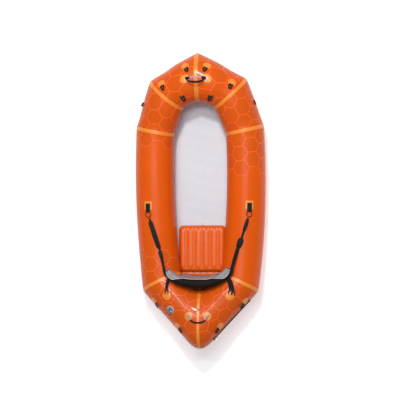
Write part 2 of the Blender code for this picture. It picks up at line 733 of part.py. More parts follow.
def build():
    for old in list(bpy.data.objects):
        bpy.data.objects.remove(old)
    hull = material("hull_fabric", (0.68, 0.10, 0.012), 0.35)
    tape = material("tape_fabric", (0.86, 0.29, 0.035), 0.45)
    floor = material("floor_fabric", (0.62, 0.64, 0.68), 0.55)
    webbing = material("black_webbing", (0.02, 0.02, 0.022), 0.75)
    cushion = material("seat_fabric", (0.75, 0.12, 0.015), 0.30)
    pad = material("backrest_fabric", (0.30, 0.28, 0.28), 0.70)
    clear = material("valve_plastic", (0.38, 0.45, 0.52), 0.25)
    black = material("black_plastic", (0.02, 0.02, 0.022), 0.45)
    pale = material("seat_valve_plastic", (0.80, 0.62, 0.30), 0.40)
    metal = material("slider_metal", (0.75, 0.75, 0.76), 0.30, 1.0)

    for panel in PANELS:
        for side in ("left", "right"):
            hull_panel(panel, side, hull)
    seam_tape("bow_centre_tape", (BOW, 0, "left"), (BOW, 0, "right"), CENTRE_TAPE_WIDTH, tape)
    seam_tape("stern_centre_tape", (STERN, 1, "left"), (STERN, 1, "right"), CENTRE_TAPE_WIDTH, tape)
    for side in ("left", "right"):
        seam_tape(f"bow_corner_tape_{side}", (BOW, 1, side), (SHOULDER_PANEL, 0, side), TAPE_WIDTH, tape)
        seam_tape(f"shoulder_tape_{side}", (SHOULDER_PANEL, 1, side), (SIDE, 0, side), TAPE_WIDTH, tape)
        seam_tape(f"stern_corner_tape_{side}", (SIDE, 1, side), (STERN, 0, side), TAPE_WIDTH, tape)
    floor_sheet(floor)
    tie_downs(tape, webbing)
    bow_handle(tape, webbing)
    stern_handle(tape, webbing)
    main_valve(clear, clear)
    cargo_zip(black, metal)
    seat_cushion(cushion, pale)
    backrest(pad)
    straps(tape, webbing, black)


build()
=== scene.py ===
"""Packraft seen from above: soft hull panels, tapes, floor, seat, backrest, straps and fittings round the CAD frame.

The bow points to +Y, +X is the paddler's right, +Z is up. Lengths are in metres, in the frame's own axes.
"""
import math
from collections import namedtuple

import bmesh
import bpy
import numpy as np
from mathutils import Matrix, Vector, noise


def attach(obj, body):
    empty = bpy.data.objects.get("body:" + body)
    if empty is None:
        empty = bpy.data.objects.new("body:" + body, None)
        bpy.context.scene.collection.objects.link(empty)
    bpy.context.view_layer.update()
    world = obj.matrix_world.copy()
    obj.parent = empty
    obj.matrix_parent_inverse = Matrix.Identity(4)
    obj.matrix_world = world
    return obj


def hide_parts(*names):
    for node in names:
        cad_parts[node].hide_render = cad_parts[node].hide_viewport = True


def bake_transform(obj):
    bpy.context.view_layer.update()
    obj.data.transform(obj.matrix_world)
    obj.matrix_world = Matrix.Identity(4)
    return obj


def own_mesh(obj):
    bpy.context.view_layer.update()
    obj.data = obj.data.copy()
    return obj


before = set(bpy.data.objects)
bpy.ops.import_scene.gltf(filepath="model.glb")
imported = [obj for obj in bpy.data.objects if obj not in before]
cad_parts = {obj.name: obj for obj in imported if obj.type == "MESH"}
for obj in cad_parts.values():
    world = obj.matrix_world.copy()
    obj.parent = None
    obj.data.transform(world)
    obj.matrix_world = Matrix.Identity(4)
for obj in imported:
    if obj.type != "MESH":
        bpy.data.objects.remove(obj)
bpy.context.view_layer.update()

# ---- the hull's layout, the same as the CAD's
GAP = 0.0003
FLOOR_THICK = 0.0012
Corner = namedtuple("Corner", "place radius height slope mitre_reach")
BOW_APEX = Corner(Vector((0.0, 0.9630)), 0.1650, 0.100, 0.00, 0.088)
BOW_CORNER = Corner(Vector((0.2500, 0.8350)), 0.1560, 0.070, -0.19, 0.064)
SHOULDER = Corner(Vector((0.3535, 0.5520)), 0.1500, 0.012, -0.09, 0.026)
STERN_CORNER = Corner(Vector((0.3060, -0.6400)), 0.1540, 0.035, 0.15, 0.054)
STERN_APEX = Corner(Vector((0.0, -0.9700)), 0.1520, 0.100, 0.15, 0.168)
CORNERS = (BOW_APEX, BOW_CORNER, SHOULDER, STERN_CORNER, STERN_APEX)
SIDE_BULGE = 0.0270
LEVEL_FROM = 0.2200
LEVEL_TO = 0.7200
TIP_CUT = 0.0470          # how far the stern's tip is drawn in where its two panels meet
TIP_REACH = 0.0950        # from the middle of the boat
TIP_FILL = 0.0560         # how far the same seam is filled in on the cockpit side
FILL_REACH = 0.1400       # from the middle of the boat

# ---- soft detail of the inflated fabric
ROUND_REACH = 0.040      # how far from a seam the bend of the tube is rounded off
ROUND_SHARE = 0.55
PUCKER = 0.0011          # ripples across a seam on the inside of its bend
SLACK = 0.0008           # long shallow unevenness of the fabric
APEX_SHARE = 0.25        # share of that rounding at the bow's and the stern's tip
SEAM_FADE = 0.045        # reach over which the ripples die away from a seam
SEAM_DIP = 0.0009        # how far the fabric draws in along a seam
SEAM_DIP_REACH = 0.014
ROW_CROWD = 0.10         # how much closer a panel's rows stand towards its ends

# ---- printed hexagons
CELL_R = 0.0670          # centre to corner
CELL_APOTHEM = CELL_R * math.sqrt(3) / 2
LINE_WIDTH = 0.0065


class Panel:
    """One tube panel of the right half, from its first corner to its second."""

    def __init__(self, name, start, end, path_start, bulge=0.0):
        self.name = name
        self.a = start.place
        self.chord = end.place - start.place
        self.length = self.chord.length
        self.ends = (start, end)
        self.path_start = path_start
        self.bulge = bulge
        self.mitre = [None, None]
        self.roll = [0.0, 0.0]
        self.turn = [0.0, 0.0]

    def plan(self, t):
        along = self.chord / self.length
        out = Vector((-along.y, along.x))
        point = self.a + self.chord * t + out * (4 * self.bulge * t * (1 - t))
        return point, (self.chord + out * (4 * self.bulge * (1 - 2 * t))).normalized()

    def radius(self, x):
        start, end = self.ends
        part = (x - start.mitre_reach) / (self.length - start.mitre_reach - end.mitre_reach)
        part = min(max(part, 0.0), 1.0)
        return start.radius + (end.radius - start.radius) * part * part * (3 - 2 * part)

    def axes(self, x):
        """Centre, unit tangent, outboard direction and upward direction at x metres along the panel."""
        near = min(max(x, 0.0), self.length)
        place, head = self.plan(near / self.length)
        height, slope = rise(self.path_start + near)
        tangent = Vector((head.x, head.y, slope)).normalized()
        out = Vector((-head.y, head.x, 0.0))
        centre = Vector((place.x, place.y, FLOOR_THICK + GAP + self.radius(near) + height))
        return centre + tangent * (x - near), tangent, out, tangent.cross(out)

    def spot(self, x, degrees, lift=0.0):
        centre, _, out, up = self.axes(x)
        phi = math.radians(degrees)
        point = centre + (out * math.cos(phi) + up * math.sin(phi)) * (self.radius(x) + lift)
        if self.ends[1] is STERN_APEX:
            near = max(0.0, 1 - max(point.x, 0.0) / TIP_REACH)
            point.y += TIP_CUT * max(math.cos(phi), 0.0) * near * near
            near = max(0.0, 1 - max(point.x, 0.0) / FILL_REACH)
            point.y += TIP_FILL * max(-math.cos(phi), 0.0) * near * near
        return point

    def spot_axes(self, x, degrees):
        """Unit directions there: along the panel, round the tube (rising degrees) and outward."""
        _, tangent, out, up = self.axes(x)
        phi = math.radians(degrees)
        return tangent, up * math.cos(phi) - out * math.sin(phi), out * math.cos(phi) + up * math.sin(phi)

    def mitre_distance(self, end, degrees):
        x = self.length * end
        corner, tangent, _, _ = self.axes(x)
        for _ in range(4):
            missed = -(self.spot(x, degrees + self.roll[end]) - corner).dot(self.mitre[end])
            x += missed / tangent.dot(self.mitre[end])
        return x

    def limits(self, degrees):
        return self.mitre_distance(0, degrees), self.mitre_distance(1, degrees)

    def roll_at(self, t):
        return self.roll[0] * (1 - t) + self.roll[1] * t


def rise(path):
    """Lift of the tube's centre line and its slope, at this path length from the bow apex."""
    for (s0, h0, m0), (s1, h1, m1) in zip(PROFILE, PROFILE[1:]):
        if path <= s1:
            span = s1 - s0
            u = (path - s0) / span
            height = (h0 * (2 * u ** 3 - 3 * u ** 2 + 1) + m0 * span * (u ** 3 - 2 * u ** 2 + u)
                      + h1 * (3 * u ** 2 - 2 * u ** 3) + m1 * span * (u ** 3 - u ** 2))
            slope = ((h0 - h1) * (6 * u ** 2 - 6 * u) / span + m0 * (3 * u ** 2 - 4 * u + 1)
                     + m1 * (3 * u ** 2 - 2 * u))
            return height, slope
    return PROFILE[-1][1:]


def lay_out_profile():
    knots = []
    path = 0.0
    for corner, after in zip(CORNERS, CORNERS[1:] + (None,)):
        reach = corner.mitre_reach
        for step in (-reach, reach):
            if 0.0 <= path + step or corner is not CORNERS[0]:
                knots.append((path + step, corner.height + corner.slope * step, corner.slope))
        if corner is SHOULDER:
            knots.append((path + LEVEL_FROM, 0.0, 0.0))
            knots.append((path + LEVEL_TO, 0.0, 0.0))
        if after:
            path += (after.place - corner.place).length
    knots.insert(0, (0.0, BOW_APEX.height, BOW_APEX.slope))
    return knots


def lay_out_panels():
    panels = []
    path = 0.0
    for i, (name, bulge) in enumerate((("bow", 0.0), ("shoulder", 0.0), ("side", SIDE_BULGE), ("stern", 0.0))):
        panel = Panel(name, CORNERS[i], CORNERS[i + 1], path, bulge)
        path += panel.length
        panels.append(panel)
    return panels


def set_mitres(panels):
    for before, after in zip(panels, panels[1:]):
        _, ahead, out, _ = before.axes(before.length)
        _, onward, out_after, up_after = after.axes(0.0)
        normal = (ahead + onward).normalized()
        before.mitre[1] = normal
        after.mitre[0] = normal
        seen = out - normal * (2 * out.dot(normal))
        twist = math.degrees(math.atan2(seen.dot(up_after), seen.dot(out_after)))
        before.roll[1] = -twist / 2
        after.roll[0] = twist / 2
        before.turn[1] = after.turn[0] = ahead.angle(onward)
    panels[0].mitre[0] = Vector((1, 0, 0))
    panels[-1].mitre[1] = Vector((-1, 0, 0))
    for panel, end in ((panels[0], 0), (panels[-1], 1)):
        tangent = panel.axes(panel.length * end)[1]
        panel.turn[end] = 2 * math.acos(min(abs(tangent.x), 1.0))


PROFILE = lay_out_profile()
PANELS = lay_out_panels()
set_mitres(PANELS)
BOW, SHOULDER_PANEL, SIDE, STERN = PANELS
SIDES = ("left", "right")
HAND = {"left": -1, "right": 1}


def flip(side, point):
    """The point on the right half, or its mirror image on the left."""
    return point.copy() if side == "right" else Vector((-point.x, point.y, point.z))


def relief(panel, side, x, degrees, first, last):
    """How far the soft fabric stands off the ideal tube at this spot."""
    lift = 0.0
    phi = math.radians(degrees)
    inner = max(0.0, -math.cos(phi))
    near = min(x - first, last - x)
    for end, away in ((0, x - first), (1, last - x)):
        away = max(away, 0.0)
        if away < ROUND_REACH:
            sag = ROUND_REACH / 2 * math.tan(panel.turn[end] / 2) * ROUND_SHARE
            if panel.ends[end] in (BOW_APEX, STERN_APEX):
                sag *= APEX_SHARE
            lift -= sag * math.cos(phi) * (1 - away / ROUND_REACH) ** 2
        fade = math.exp(-away / SEAM_FADE) * min(panel.turn[end] / 0.8, 1.2)
        ripple = math.sin(degrees * 0.62 + 2.1 * panel.turn[end] * 7) + 0.5 * math.sin(degrees * 0.97 + 1.3)
        lift += PUCKER * fade * (0.15 + inner) * ripple
        lift -= SEAM_DIP * math.exp(-(away / SEAM_DIP_REACH) ** 2)
    hand = 0.0 if side == "left" else 9.0
    place = Vector((x * 1.6 + panel.path_start * 3, math.cos(phi) * 1.1 + hand, math.sin(phi) * 1.1))
    fade = 1 - math.exp(-max(near, 0.0) / 0.05)
    lift += SLACK * fade * (noise.noise(place) * 1.4 + 0.6 * noise.noise(place * 2.7))
    return lift


def skin(panel, side, x, degrees, lift):
    """Point this far off the soft hull's surface."""
    first, last = panel.limits(degrees)
    return flip(side, panel.spot(x, degrees, lift + relief(panel, side, x, degrees, first, last)))


# ---- mesh helpers
def new_object(name, verts, faces, material, uv=None, smooth=True, sharp=None):
    mesh = bpy.data.meshes.new(name)
    mesh.from_pydata([tuple(v) for v in verts], [], faces)
    if uv is not None:
        layer = mesh.uv_layers.new(name="UVMap")
        layer.data.foreach_set("uv", np.array(uv, np.float32).ravel())
    mesh.materials.append(material)
    mesh.validate()
    if smooth:
        mesh.shade_smooth()
    if sharp:
        mesh.set_sharp_from_angle(angle=math.radians(sharp))
    made = bpy.data.objects.new(name, mesh)
    bpy.context.scene.collection.objects.link(made)
    return made


def thicken(made, thick):
    solid = made.modifiers.new("thickness", "SOLIDIFY")
    solid.thickness = thick
    solid.offset = -1.0


def face_outward(made):
    work = bmesh.new()
    work.from_mesh(made.data)
    bmesh.ops.recalc_face_normals(work, faces=work.faces)
    work.to_mesh(made.data)
    work.free()


def add_prism(verts, faces, rings):
    """Adds a closed solid through rings of equally many points."""
    start, m = len(verts), len(rings[0])
    for ring in rings:
        verts.extend(ring)
    last = start + (len(rings) - 1) * m
    for low in range(start, last, m):
        for j in range(m):
            k = (j + 1) % m
            faces.append([low + j, low + k, low + m + k, low + m + j])
    faces.append([start + j for j in reversed(range(m))])
    faces.append([last + j for j in range(m)])


def grid_object(name, rows, uv_rows, material, wrap=False, thick=0.0, flip_faces=False):
    """A surface through rows of points, with its own UVs. wrap joins each row's ends; its UV rows have one more."""
    n = len(rows)
    m = len(rows[0])
    verts = [p for row in rows for p in row]
    faces = []
    uv = []
    for i in range(n - 1):
        for j in range(m if wrap else m - 1):
            k = (j + 1) % m
            corners = [(i, j, j), (i, k, j + 1), (i + 1, k, j + 1), (i + 1, j, j)]
            if flip_faces:
                corners.reverse()
            faces.append([a * m + b for a, b, _ in corners])
            uv.extend(uv_rows[a][c] for a, _, c in corners)
    made = new_object(name, verts, faces, material, uv)
    if thick:
        thicken(made, thick)
    return made


def rounded_section(width, thick, corner=3, share=0.9):
    """Points of a flat section with rounded edges, across (a) and through (b), anticlockwise."""
    r = thick / 2 * share
    points = []
    for ca, cb, start in ((1, 1, 0), (-1, 1, 90), (-1, -1, 180), (1, -1, 270)):
        for k in range(corner + 1):
            turn = math.radians(start + 90 * k / corner)
            points.append((ca * (width / 2 - r) + r * math.cos(turn), cb * (thick / 2 - r) + r * math.sin(turn)))
    return points


def round_section(radius, sides=12):
    return [(radius * math.cos(2 * math.pi * k / sides), radius * math.sin(2 * math.pi * k / sides))
            for k in range(sides)]


def sweep(name, path, normals, sections, material, closed=False):
    """A solid along a path; sections is one list of (across, through) points, or one list for each path point."""
    count = len(path)
    if not isinstance(sections[0][0], (tuple, list)):
        sections = [sections] * count
    m = len(sections[0])
    verts = []
    travelled = [0.0]
    for i in range(1, count):
        travelled.append(travelled[-1] + (path[i] - path[i - 1]).length)
    for i in range(count):
        ahead = path[(i + 1) % count] if closed else path[min(i + 1, count - 1)]
        behind = path[i - 1] if closed else path[max(i - 1, 0)]
        along = (ahead - behind).normalized()
        across = along.cross(normals[i]).normalized()
        through = across.cross(along)
        verts.extend(path[i] + across * a + through * b for a, b in sections[i])
    around = [0.0]
    for j in range(m):
        a, b = sections[count // 2][j], sections[count // 2][(j + 1) % m]
        around.append(around[-1] + math.dist(a, b))
    faces = []
    uv = []
    for i in range(count if closed else count - 1):
        n = (i + 1) % count
        end = travelled[i + 1] if i + 1 < count else travelled[i] + (path[0] - path[i]).length
        for j in range(m):
            k = (j + 1) % m
            faces.append([i * m + j, i * m + k, n * m + k, n * m + j])
            uv.extend([(travelled[i], around[j]), (travelled[i], around[j + 1]),
                       (end, around[j + 1]), (end, around[j])])
    if not closed:
        for start, order in ((0, -1), ((count - 1) * m, 1)):
            ring = [start + j for j in range(m)][::order]
            faces.append(ring)
            section = sections[0 if start == 0 else -1]
            uv.extend([section[j - start] for j in ring])
    made = new_object(name, verts, faces, material, uv)
    face_outward(made)
    return made


def smooth_path(points, count):
    """Evenly spaced points on a Catmull-Rom curve through the given ones."""
    dense = []
    last = len(points) - 1
    for i in range(last):
        p0 = points[max(i - 1, 0)]
        p1, p2 = points[i], points[i + 1]
        p3 = points[min(i + 2, last)]
        for k in range(24):
            t = k / 24
            dense.append(0.5 * (2 * p1 + (p2 - p0) * t + (2 * p0 - 5 * p1 + 4 * p2 - p3) * t ** 2
                                + (3 * p1 - p0 - 3 * p2 + p3) * t ** 3))
    dense.append(points[-1].copy())
    travelled = [0.0]
    for a, b in zip(dense, dense[1:]):
        travelled.append(travelled[-1] + (b - a).length)
    made = []
    j = 0
    for k in range(count):
        want = travelled[-1] * k / (count - 1)
        while j < len(dense) - 2 and travelled[j + 1] < want:
            j += 1
        span = max(travelled[j + 1] - travelled[j], 1e-9)
        made.append(dense[j].lerp(dense[j + 1], min(max((want - travelled[j]) / span, 0.0), 1.0)))
    return made


def turned(name, profile, frame_matrix, material, sides=48):
    """A solid of revolution about its own Z from (radius, height) points."""
    verts = []
    rows = []
    for radius, height in profile:
        if radius == 0.0:
            rows.append([len(verts)] * sides)
            verts.append(Vector((0, 0, height)))
            continue
        rows.append([len(verts) + k for k in range(sides)])
        verts.extend(Vector((radius * math.cos(2 * math.pi * k / sides), radius * math.sin(2 * math.pi * k / sides),
                             height)) for k in range(sides))
    faces = []
    for low, high in zip(rows, rows[1:]):
        for k in range(sides):
            loop = list(dict.fromkeys([low[k], low[(k + 1) % sides], high[(k + 1) % sides], high[k]]))
            if len(loop) > 2:
                faces.append(loop)
    made = new_object(name, verts, faces, material, sharp=35)
    made.data.transform(frame_matrix)
    return made


def placed(origin, x_axis, y_axis, z_axis):
    made = Matrix((x_axis, y_axis, z_axis)).transposed().to_4x4()
    made.translation = origin
    return made


def moved(points, matrix):
    return [matrix @ Vector(p) for p in points]


def mount(piece, body, slot, *nodes):
    """Rides a piece on its body and hides the CAD nodes that it stands for; slot is not used."""
    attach(piece, body)
    named = [name for name in nodes if name]
    if named:
        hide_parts(*named)
    return piece


def strip(name, points, count, facing, section, material, body, slot):
    """A sweep along a smooth path, facing one way all along."""
    return mount(sweep(name, smooth_path(points, count), [facing] * count, section, material), body, slot)


# ---- material helpers
def feed(tree, socket, value):
    if isinstance(value, bpy.types.NodeSocket):
        tree.links.new(value, socket)
    elif socket.type == "RGBA":
        socket.default_value = (*value[:3], 1.0)
    else:
        socket.default_value = value


def feed_all(tree, made, **inputs):
    for key, value in inputs.items():
        feed(tree, made.inputs[key.replace("_", " ")], value)


def node(tree, kind, settings=None, **inputs):
    made = tree.nodes.new("ShaderNode" + kind)
    for key, value in (settings or {}).items():
        setattr(made, key, value)
    feed_all(tree, made, **inputs)
    return made


def calc(tree, operation, a, b=0.0, c=None, clamp=False):
    made = tree.nodes.new("ShaderNodeMath")
    made.operation = operation
    made.use_clamp = clamp
    feed(tree, made.inputs[0], a)
    feed(tree, made.inputs[1], b)
    if c is not None:
        feed(tree, made.inputs[2], c)
    return made.outputs[0]


def vector_calc(tree, operation, a, b=None, c=None):
    made = tree.nodes.new("ShaderNodeVectorMath")
    made.operation = operation
    for i, value in enumerate((a, b, c)):
        if value is not None:
            feed(tree, made.inputs[i], value)
    return made.outputs["Value" if operation in ("LENGTH", "DOT_PRODUCT") else "Vector"]


def blend_colour(tree, factor, a, b):
    made = tree.nodes.new("ShaderNodeMix")
    made.data_type = "RGBA"
    feed(tree, made.inputs["Factor"], factor)
    feed(tree, made.inputs["A"], a)
    feed(tree, made.inputs["B"], b)
    return made.outputs["Result"]


def span(tree, value, low, high, to_low=0.0, to_high=1.0):
    made = node(tree, "MapRange", {"interpolation_type": "SMOOTHSTEP"}, Value=value, From_Min=low, From_Max=high,
                To_Min=to_low, To_Max=to_high)
    return made.outputs["Result"]


def noise_at(tree, vector, scale, detail=3.0, rough=0.55):
    return node(tree, "TexNoise", Vector=vector, Scale=scale, Detail=detail, Roughness=rough).outputs["Fac"]


def base_material(name, colour, roughness, metallic=0.0):
    made = bpy.data.materials.new(name)
    made.use_nodes = True
    tree = made.node_tree
    shader = tree.nodes["Principled BSDF"]
    feed_all(tree, shader, Base_Color=colour, Roughness=roughness, Metallic=metallic)
    return made, tree, shader


def bump_chain(tree, shader, layers):
    """Feeds height layers, each (height, distance in metres, strength), one after another into the normal."""
    previous = None
    for height, distance, strength in layers:
        made = node(tree, "Bump", Height=height, Distance=distance, Strength=strength)
        if previous is not None:
            tree.links.new(previous, made.inputs["Normal"])
        previous = made.outputs["Normal"]
    tree.links.new(previous, shader.inputs["Normal"])


def weave(tree, vector, pitch):
    """Height of a plain weave whose threads run along the first two axes of the vector."""
    parts = node(tree, "SeparateXYZ", Vector=vector)
    u = calc(tree, "MULTIPLY", parts.outputs["X"], math.pi / pitch)
    v = calc(tree, "MULTIPLY", parts.outputs["Y"], math.pi / pitch)
    warp = calc(tree, "ABSOLUTE", calc(tree, "SINE", u))
    weft = calc(tree, "ABSOLUTE", calc(tree, "SINE", v))
    which = calc(tree, "MULTIPLY", calc(tree, "SINE", u), calc(tree, "SINE", v))
    over = calc(tree, "GREATER_THAN", which, 0.0)
    return calc(tree, "ADD", calc(tree, "MULTIPLY", warp, over),
                calc(tree, "MULTIPLY", weft, calc(tree, "SUBTRACT", 1.0, over)))


def hexagons(tree, vector):
    """Distance in metres from this point to the nearest line of a honeycomb with corners to left and right."""
    half = (1.5 * CELL_R, CELL_APOTHEM, 0.5)
    low = tuple(-c for c in half)

    def wrapped(point):
        made = vector_calc(tree, "WRAP", point, half, low)
        return vector_calc(tree, "MULTIPLY", made, (1.0, 1.0, 0.0))

    a = wrapped(vector)
    b = wrapped(vector_calc(tree, "SUBTRACT", vector, half))
    nearer = calc(tree, "GREATER_THAN", vector_calc(tree, "LENGTH", a), vector_calc(tree, "LENGTH", b))
    pick = tree.nodes.new("ShaderNodeMix")
    pick.data_type = "VECTOR"
    feed(tree, pick.inputs["Factor"], nearer)
    tree.links.new(a, pick.inputs[4])
    tree.links.new(b, pick.inputs[5])
    local = vector_calc(tree, "ABSOLUTE", pick.outputs[1])
    slanted = vector_calc(tree, "DOT_PRODUCT", local, (math.sqrt(3) / 2, 0.5, 0.0))
    level = node(tree, "SeparateXYZ", Vector=local).outputs["Y"]
    return calc(tree, "SUBTRACT", CELL_APOTHEM, calc(tree, "MAXIMUM", slanted, level))


HULL = (0.760, 0.100, 0.0020)
HULL_DEEP = (0.600, 0.070, 0.0040)
CELL_FILL = (0.690, 0.096, 0.0040)
CELL_EDGE = (0.690, 0.090, 0.0070)
LINE = (0.940, 0.140, 0.0180)
TAPE = (0.900, 0.270, 0.0270)
TAPE_DEEP = (0.780, 0.210, 0.0200)


def hull_material():
    """Satin coated fabric with a printed honeycomb; UVMap is in metres, print says where cells are printed."""
    made, tree, shader = base_material("hull_fabric", HULL, 0.34)
    uv = node(tree, "UVMap", {"uv_map": "UVMap"}).outputs["UV"]
    place = node(tree, "TexCoord").outputs["Object"]
    mottle = span(tree, noise_at(tree, place, 5.0, 4.0), 0.35, 0.75)
    cloth = blend_colour(tree, calc(tree, "MULTIPLY", mottle, 0.22), HULL, HULL_DEEP)
    inside = hexagons(tree, uv)
    printed = node(tree, "Attribute", {"attribute_name": "print"}).outputs["Fac"]
    fill = blend_colour(tree, span(tree, inside, 0.004, 0.030), CELL_EDGE, CELL_FILL)
    line = span(tree, inside, LINE_WIDTH * 0.62, LINE_WIDTH * 0.38)
    cells = blend_colour(tree, line, fill, LINE)
    cloth = blend_colour(tree, printed, cloth, cells)
    scuff = span(tree, noise_at(tree, place, 38.0, 6.0, 0.7), 0.62, 0.78)
    cloth = blend_colour(tree, calc(tree, "MULTIPLY", scuff, 0.05), cloth, (0.93, 0.62, 0.42))
    rough = span(tree, noise_at(tree, place, 16.0, 4.0), 0.3, 0.8, 0.34, 0.46)
    creases = node(tree, "TexNoise", Vector=place, Scale=7.0, Detail=3.0, Distortion=0.6).outputs["Fac"]
    bump_chain(tree, shader, [(creases, 0.0020, 0.35), (weave(tree, uv, 0.0007), 0.00004, 0.5),
                              (line, 0.00006, 0.6)])
    feed_all(tree, shader, Base_Color=cloth, Roughness=rough, Specular_IOR_Level=0.12, Coat_Weight=0.24,
             Coat_Roughness=0.09, Coat_IOR=1.40)
    return made


def fabric(name, colour, deep, roughness, pitch, use_uv=False, weave_depth=0.00006, crease=0.0008, gloss=0.5,
           mottle_scale=14.0, mottle_share=0.5, crease_scale=22.0):
    """Woven cloth with uneven colour, painted shade in the gaps between its threads, creases and a weave of this
    thread pitch.
    """
    made, tree, shader = base_material(name, colour, roughness)
    place = node(tree, "TexCoord").outputs["Object"]
    cloth_place = node(tree, "UVMap", {"uv_map": "UVMap"}).outputs["UV"] if use_uv else place
    mottle = span(tree, noise_at(tree, place, mottle_scale, 5.0, 0.6), 0.35, 0.72)
    threads = weave(tree, cloth_place, pitch)
    # painted shade: low spots between threads are drawn darker, mixed with a random mottle of tone
    thread_shade_and_mottle = calc(tree, "MULTIPLY_ADD", threads, -0.22, calc(tree, "MULTIPLY", mottle, mottle_share))
    tint = blend_colour(tree, calc(tree, "ADD", thread_shade_and_mottle, 0.16, clamp=True), colour, deep)
    rough = span(tree, noise_at(tree, place, 30.0, 4.0), 0.3, 0.8, roughness - 0.06, roughness + 0.08)
    wrinkle = noise_at(tree, place, crease_scale, 3.0)
    bump_chain(tree, shader, [(wrinkle, crease, 0.5), (threads, weave_depth, 0.8)])
    feed_all(tree, shader, Base_Color=tint, Roughness=rough, Specular_IOR_Level=gloss)
    return made


def webbing(name, colour, rib_highlight_and_fuzz):
    """Flat webbing: ribs across its length; UVMap runs along it in metres."""
    made, tree, shader = base_material(name, colour, 0.72)
    uv = node(tree, "UVMap", {"uv_map": "UVMap"}).outputs["UV"]
    parts = node(tree, "SeparateXYZ", Vector=uv)
    ribs = calc(tree, "SINE", calc(tree, "MULTIPLY", parts.outputs["X"], 2 * math.pi / 0.0016))
    cords = calc(tree, "SINE", calc(tree, "MULTIPLY", parts.outputs["Y"], 2 * math.pi / 0.0012))
    height = calc(tree, "MULTIPLY", ribs, cords)
    fuzz = noise_at(tree, node(tree, "TexCoord").outputs["Object"], 160.0, 4.0)
    # painted highlight: raised points of the rib pattern are drawn lighter; random fuzz adds lighter flecks too
    tint = blend_colour(tree, span(tree, calc(tree, "MULTIPLY_ADD", height, 0.3, fuzz), 0.2, 1.0), colour, rib_highlight_and_fuzz)
    bump_chain(tree, shader, [(height, 0.0002, 0.7), (fuzz, 0.0003, 0.3)])
    feed_all(tree, shader, Base_Color=tint, Specular_IOR_Level=0.18)
    return made


def plastic(name, colour, worn, roughness, metallic=0.0):
    """Moulded plastic or metal with a fine grain and rubbed high spots."""
    made, tree, shader = base_material(name, colour, roughness, metallic)
    place = node(tree, "TexCoord").outputs["Object"]
    rub = span(tree, noise_at(tree, place, 90.0, 5.0, 0.7), 0.55, 0.8)
    tint = blend_colour(tree, calc(tree, "MULTIPLY", rub, 0.6), colour, worn)
    rough = span(tree, noise_at(tree, place, 60.0, 3.0), 0.3, 0.8, roughness - 0.05, roughness + 0.1)
    feed_all(tree, shader, Base_Color=tint, Roughness=rough)
    bump_chain(tree, shader, [(noise_at(tree, place, 900.0, 2.0), 0.0001, 0.5)])
    return made


MAT_HULL = hull_material()
MAT_TAPE = fabric("tape_fabric", TAPE, TAPE_DEEP, 0.34, 0.0008, use_uv=True, crease=0.0006)
MAT_FLOOR = fabric("floor_fabric", (0.66, 0.705, 0.770), (0.57, 0.615, 0.690), 0.55, 0.0010, use_uv=True,
                   crease=0.0030, crease_scale=9.0, mottle_scale=4.0, mottle_share=0.3)
MAT_WEBBING = webbing("black_webbing", (0.006, 0.006, 0.0065), (0.020, 0.019, 0.020))
# grey webbing for the stern handle's tabs, also used for the bow handle's painted sheen strip
MAT_GREY_WEBBING_AND_SHEEN = webbing("grey_webbing_and_sheen", (0.30, 0.29, 0.28), (0.52, 0.50, 0.48))
MAT_SEAT = fabric("seat_fabric", (0.78, 0.118, 0.006), (0.66, 0.085, 0.004), 0.34, 0.0007, crease=0.0008,
                  crease_scale=30.0, mottle_share=0.25, gloss=0.4)
MAT_BACK_FRONT = fabric("backrest_face", (0.36, 0.325, 0.33), (0.19, 0.168, 0.172), 0.70, 0.0014,
                        weave_depth=0.0002, crease=0.0030, crease_scale=26.0, mottle_scale=60.0, gloss=0.2)
# near-black cloth with both colours leaning red: painted reflected light from the orange tube
MAT_BACK_REAR = fabric("backrest_back", (0.007, 0.0045, 0.0045), (0.014, 0.007, 0.007), 0.66, 0.0012,
                       weave_depth=0.0002, crease=0.0025, gloss=0.15)
MAT_SLEEVE = fabric("strap_sleeve", (0.008, 0.008, 0.009), (0.018, 0.018, 0.019), 0.70, 0.0012,
                    weave_depth=0.0002, crease=0.0015, crease_scale=60.0, gloss=0.2)
MAT_PIPING = fabric("piping", (0.62, 0.58, 0.56), (0.42, 0.39, 0.38), 0.5, 0.0010, crease=0.0003)
MAT_VALVE = plastic("valve_plastic", (0.42, 0.48, 0.54), (0.60, 0.66, 0.70), 0.22)
MAT_VALVE_LID = plastic("valve_lid_plastic", (0.150, 0.190, 0.240), (0.34, 0.40, 0.46), 0.16)
MAT_BLACK = plastic("black_plastic", (0.008, 0.008, 0.0085), (0.024, 0.024, 0.025), 0.42)
MAT_SEAT_VALVE = plastic("seat_valve_plastic", (0.86, 0.66, 0.26), (0.92, 0.80, 0.50), 0.35)
MAT_METAL = plastic("slider_metal", (0.72, 0.72, 0.73), (0.85, 0.85, 0.86), 0.28, metallic=1.0)
MAT_PALE_THREAD = plastic("pale_thread", (0.60, 0.57, 0.54), (0.75, 0.72, 0.70), 0.6)


# ---- hull panels
Print = namedtuple("Print", "place turn along printed")
# place is a cell's centre in plan, turn its twist in degrees, along says that cells follow the tube's own
# direction rather than the boat's, and printed(x, y) says whether the cell centred there is printed
PRINTS = {
    ("bow", "right"): Print((0.1627, 0.9650), 0.0, False, lambda x, y: True),
    ("bow", "left"): Print((-0.1447, 0.9079), 0.0, False, lambda x, y: True),
    ("shoulder", "right"): Print((0.2463, 0.6835), -5.0, False, lambda x, y: True),
    ("shoulder", "left"): Print((-0.3261, 0.6803), 4.0, False, lambda x, y: True),
    ("side", "right"): Print((0.3190, 0.3700), -5.0, True, lambda x, y: y > 0.22),
    ("side", "left"): Print((-0.4080, 0.4919), 6.0, True, lambda x, y: y > 0.46 or y < -0.385),
    ("stern", "right"): Print((0.1924, -0.8930), -19.0, False, lambda x, y: True),
    ("stern", "left"): Print((-0.2236, -0.8500), 0.0, False, lambda x, y: True),
}


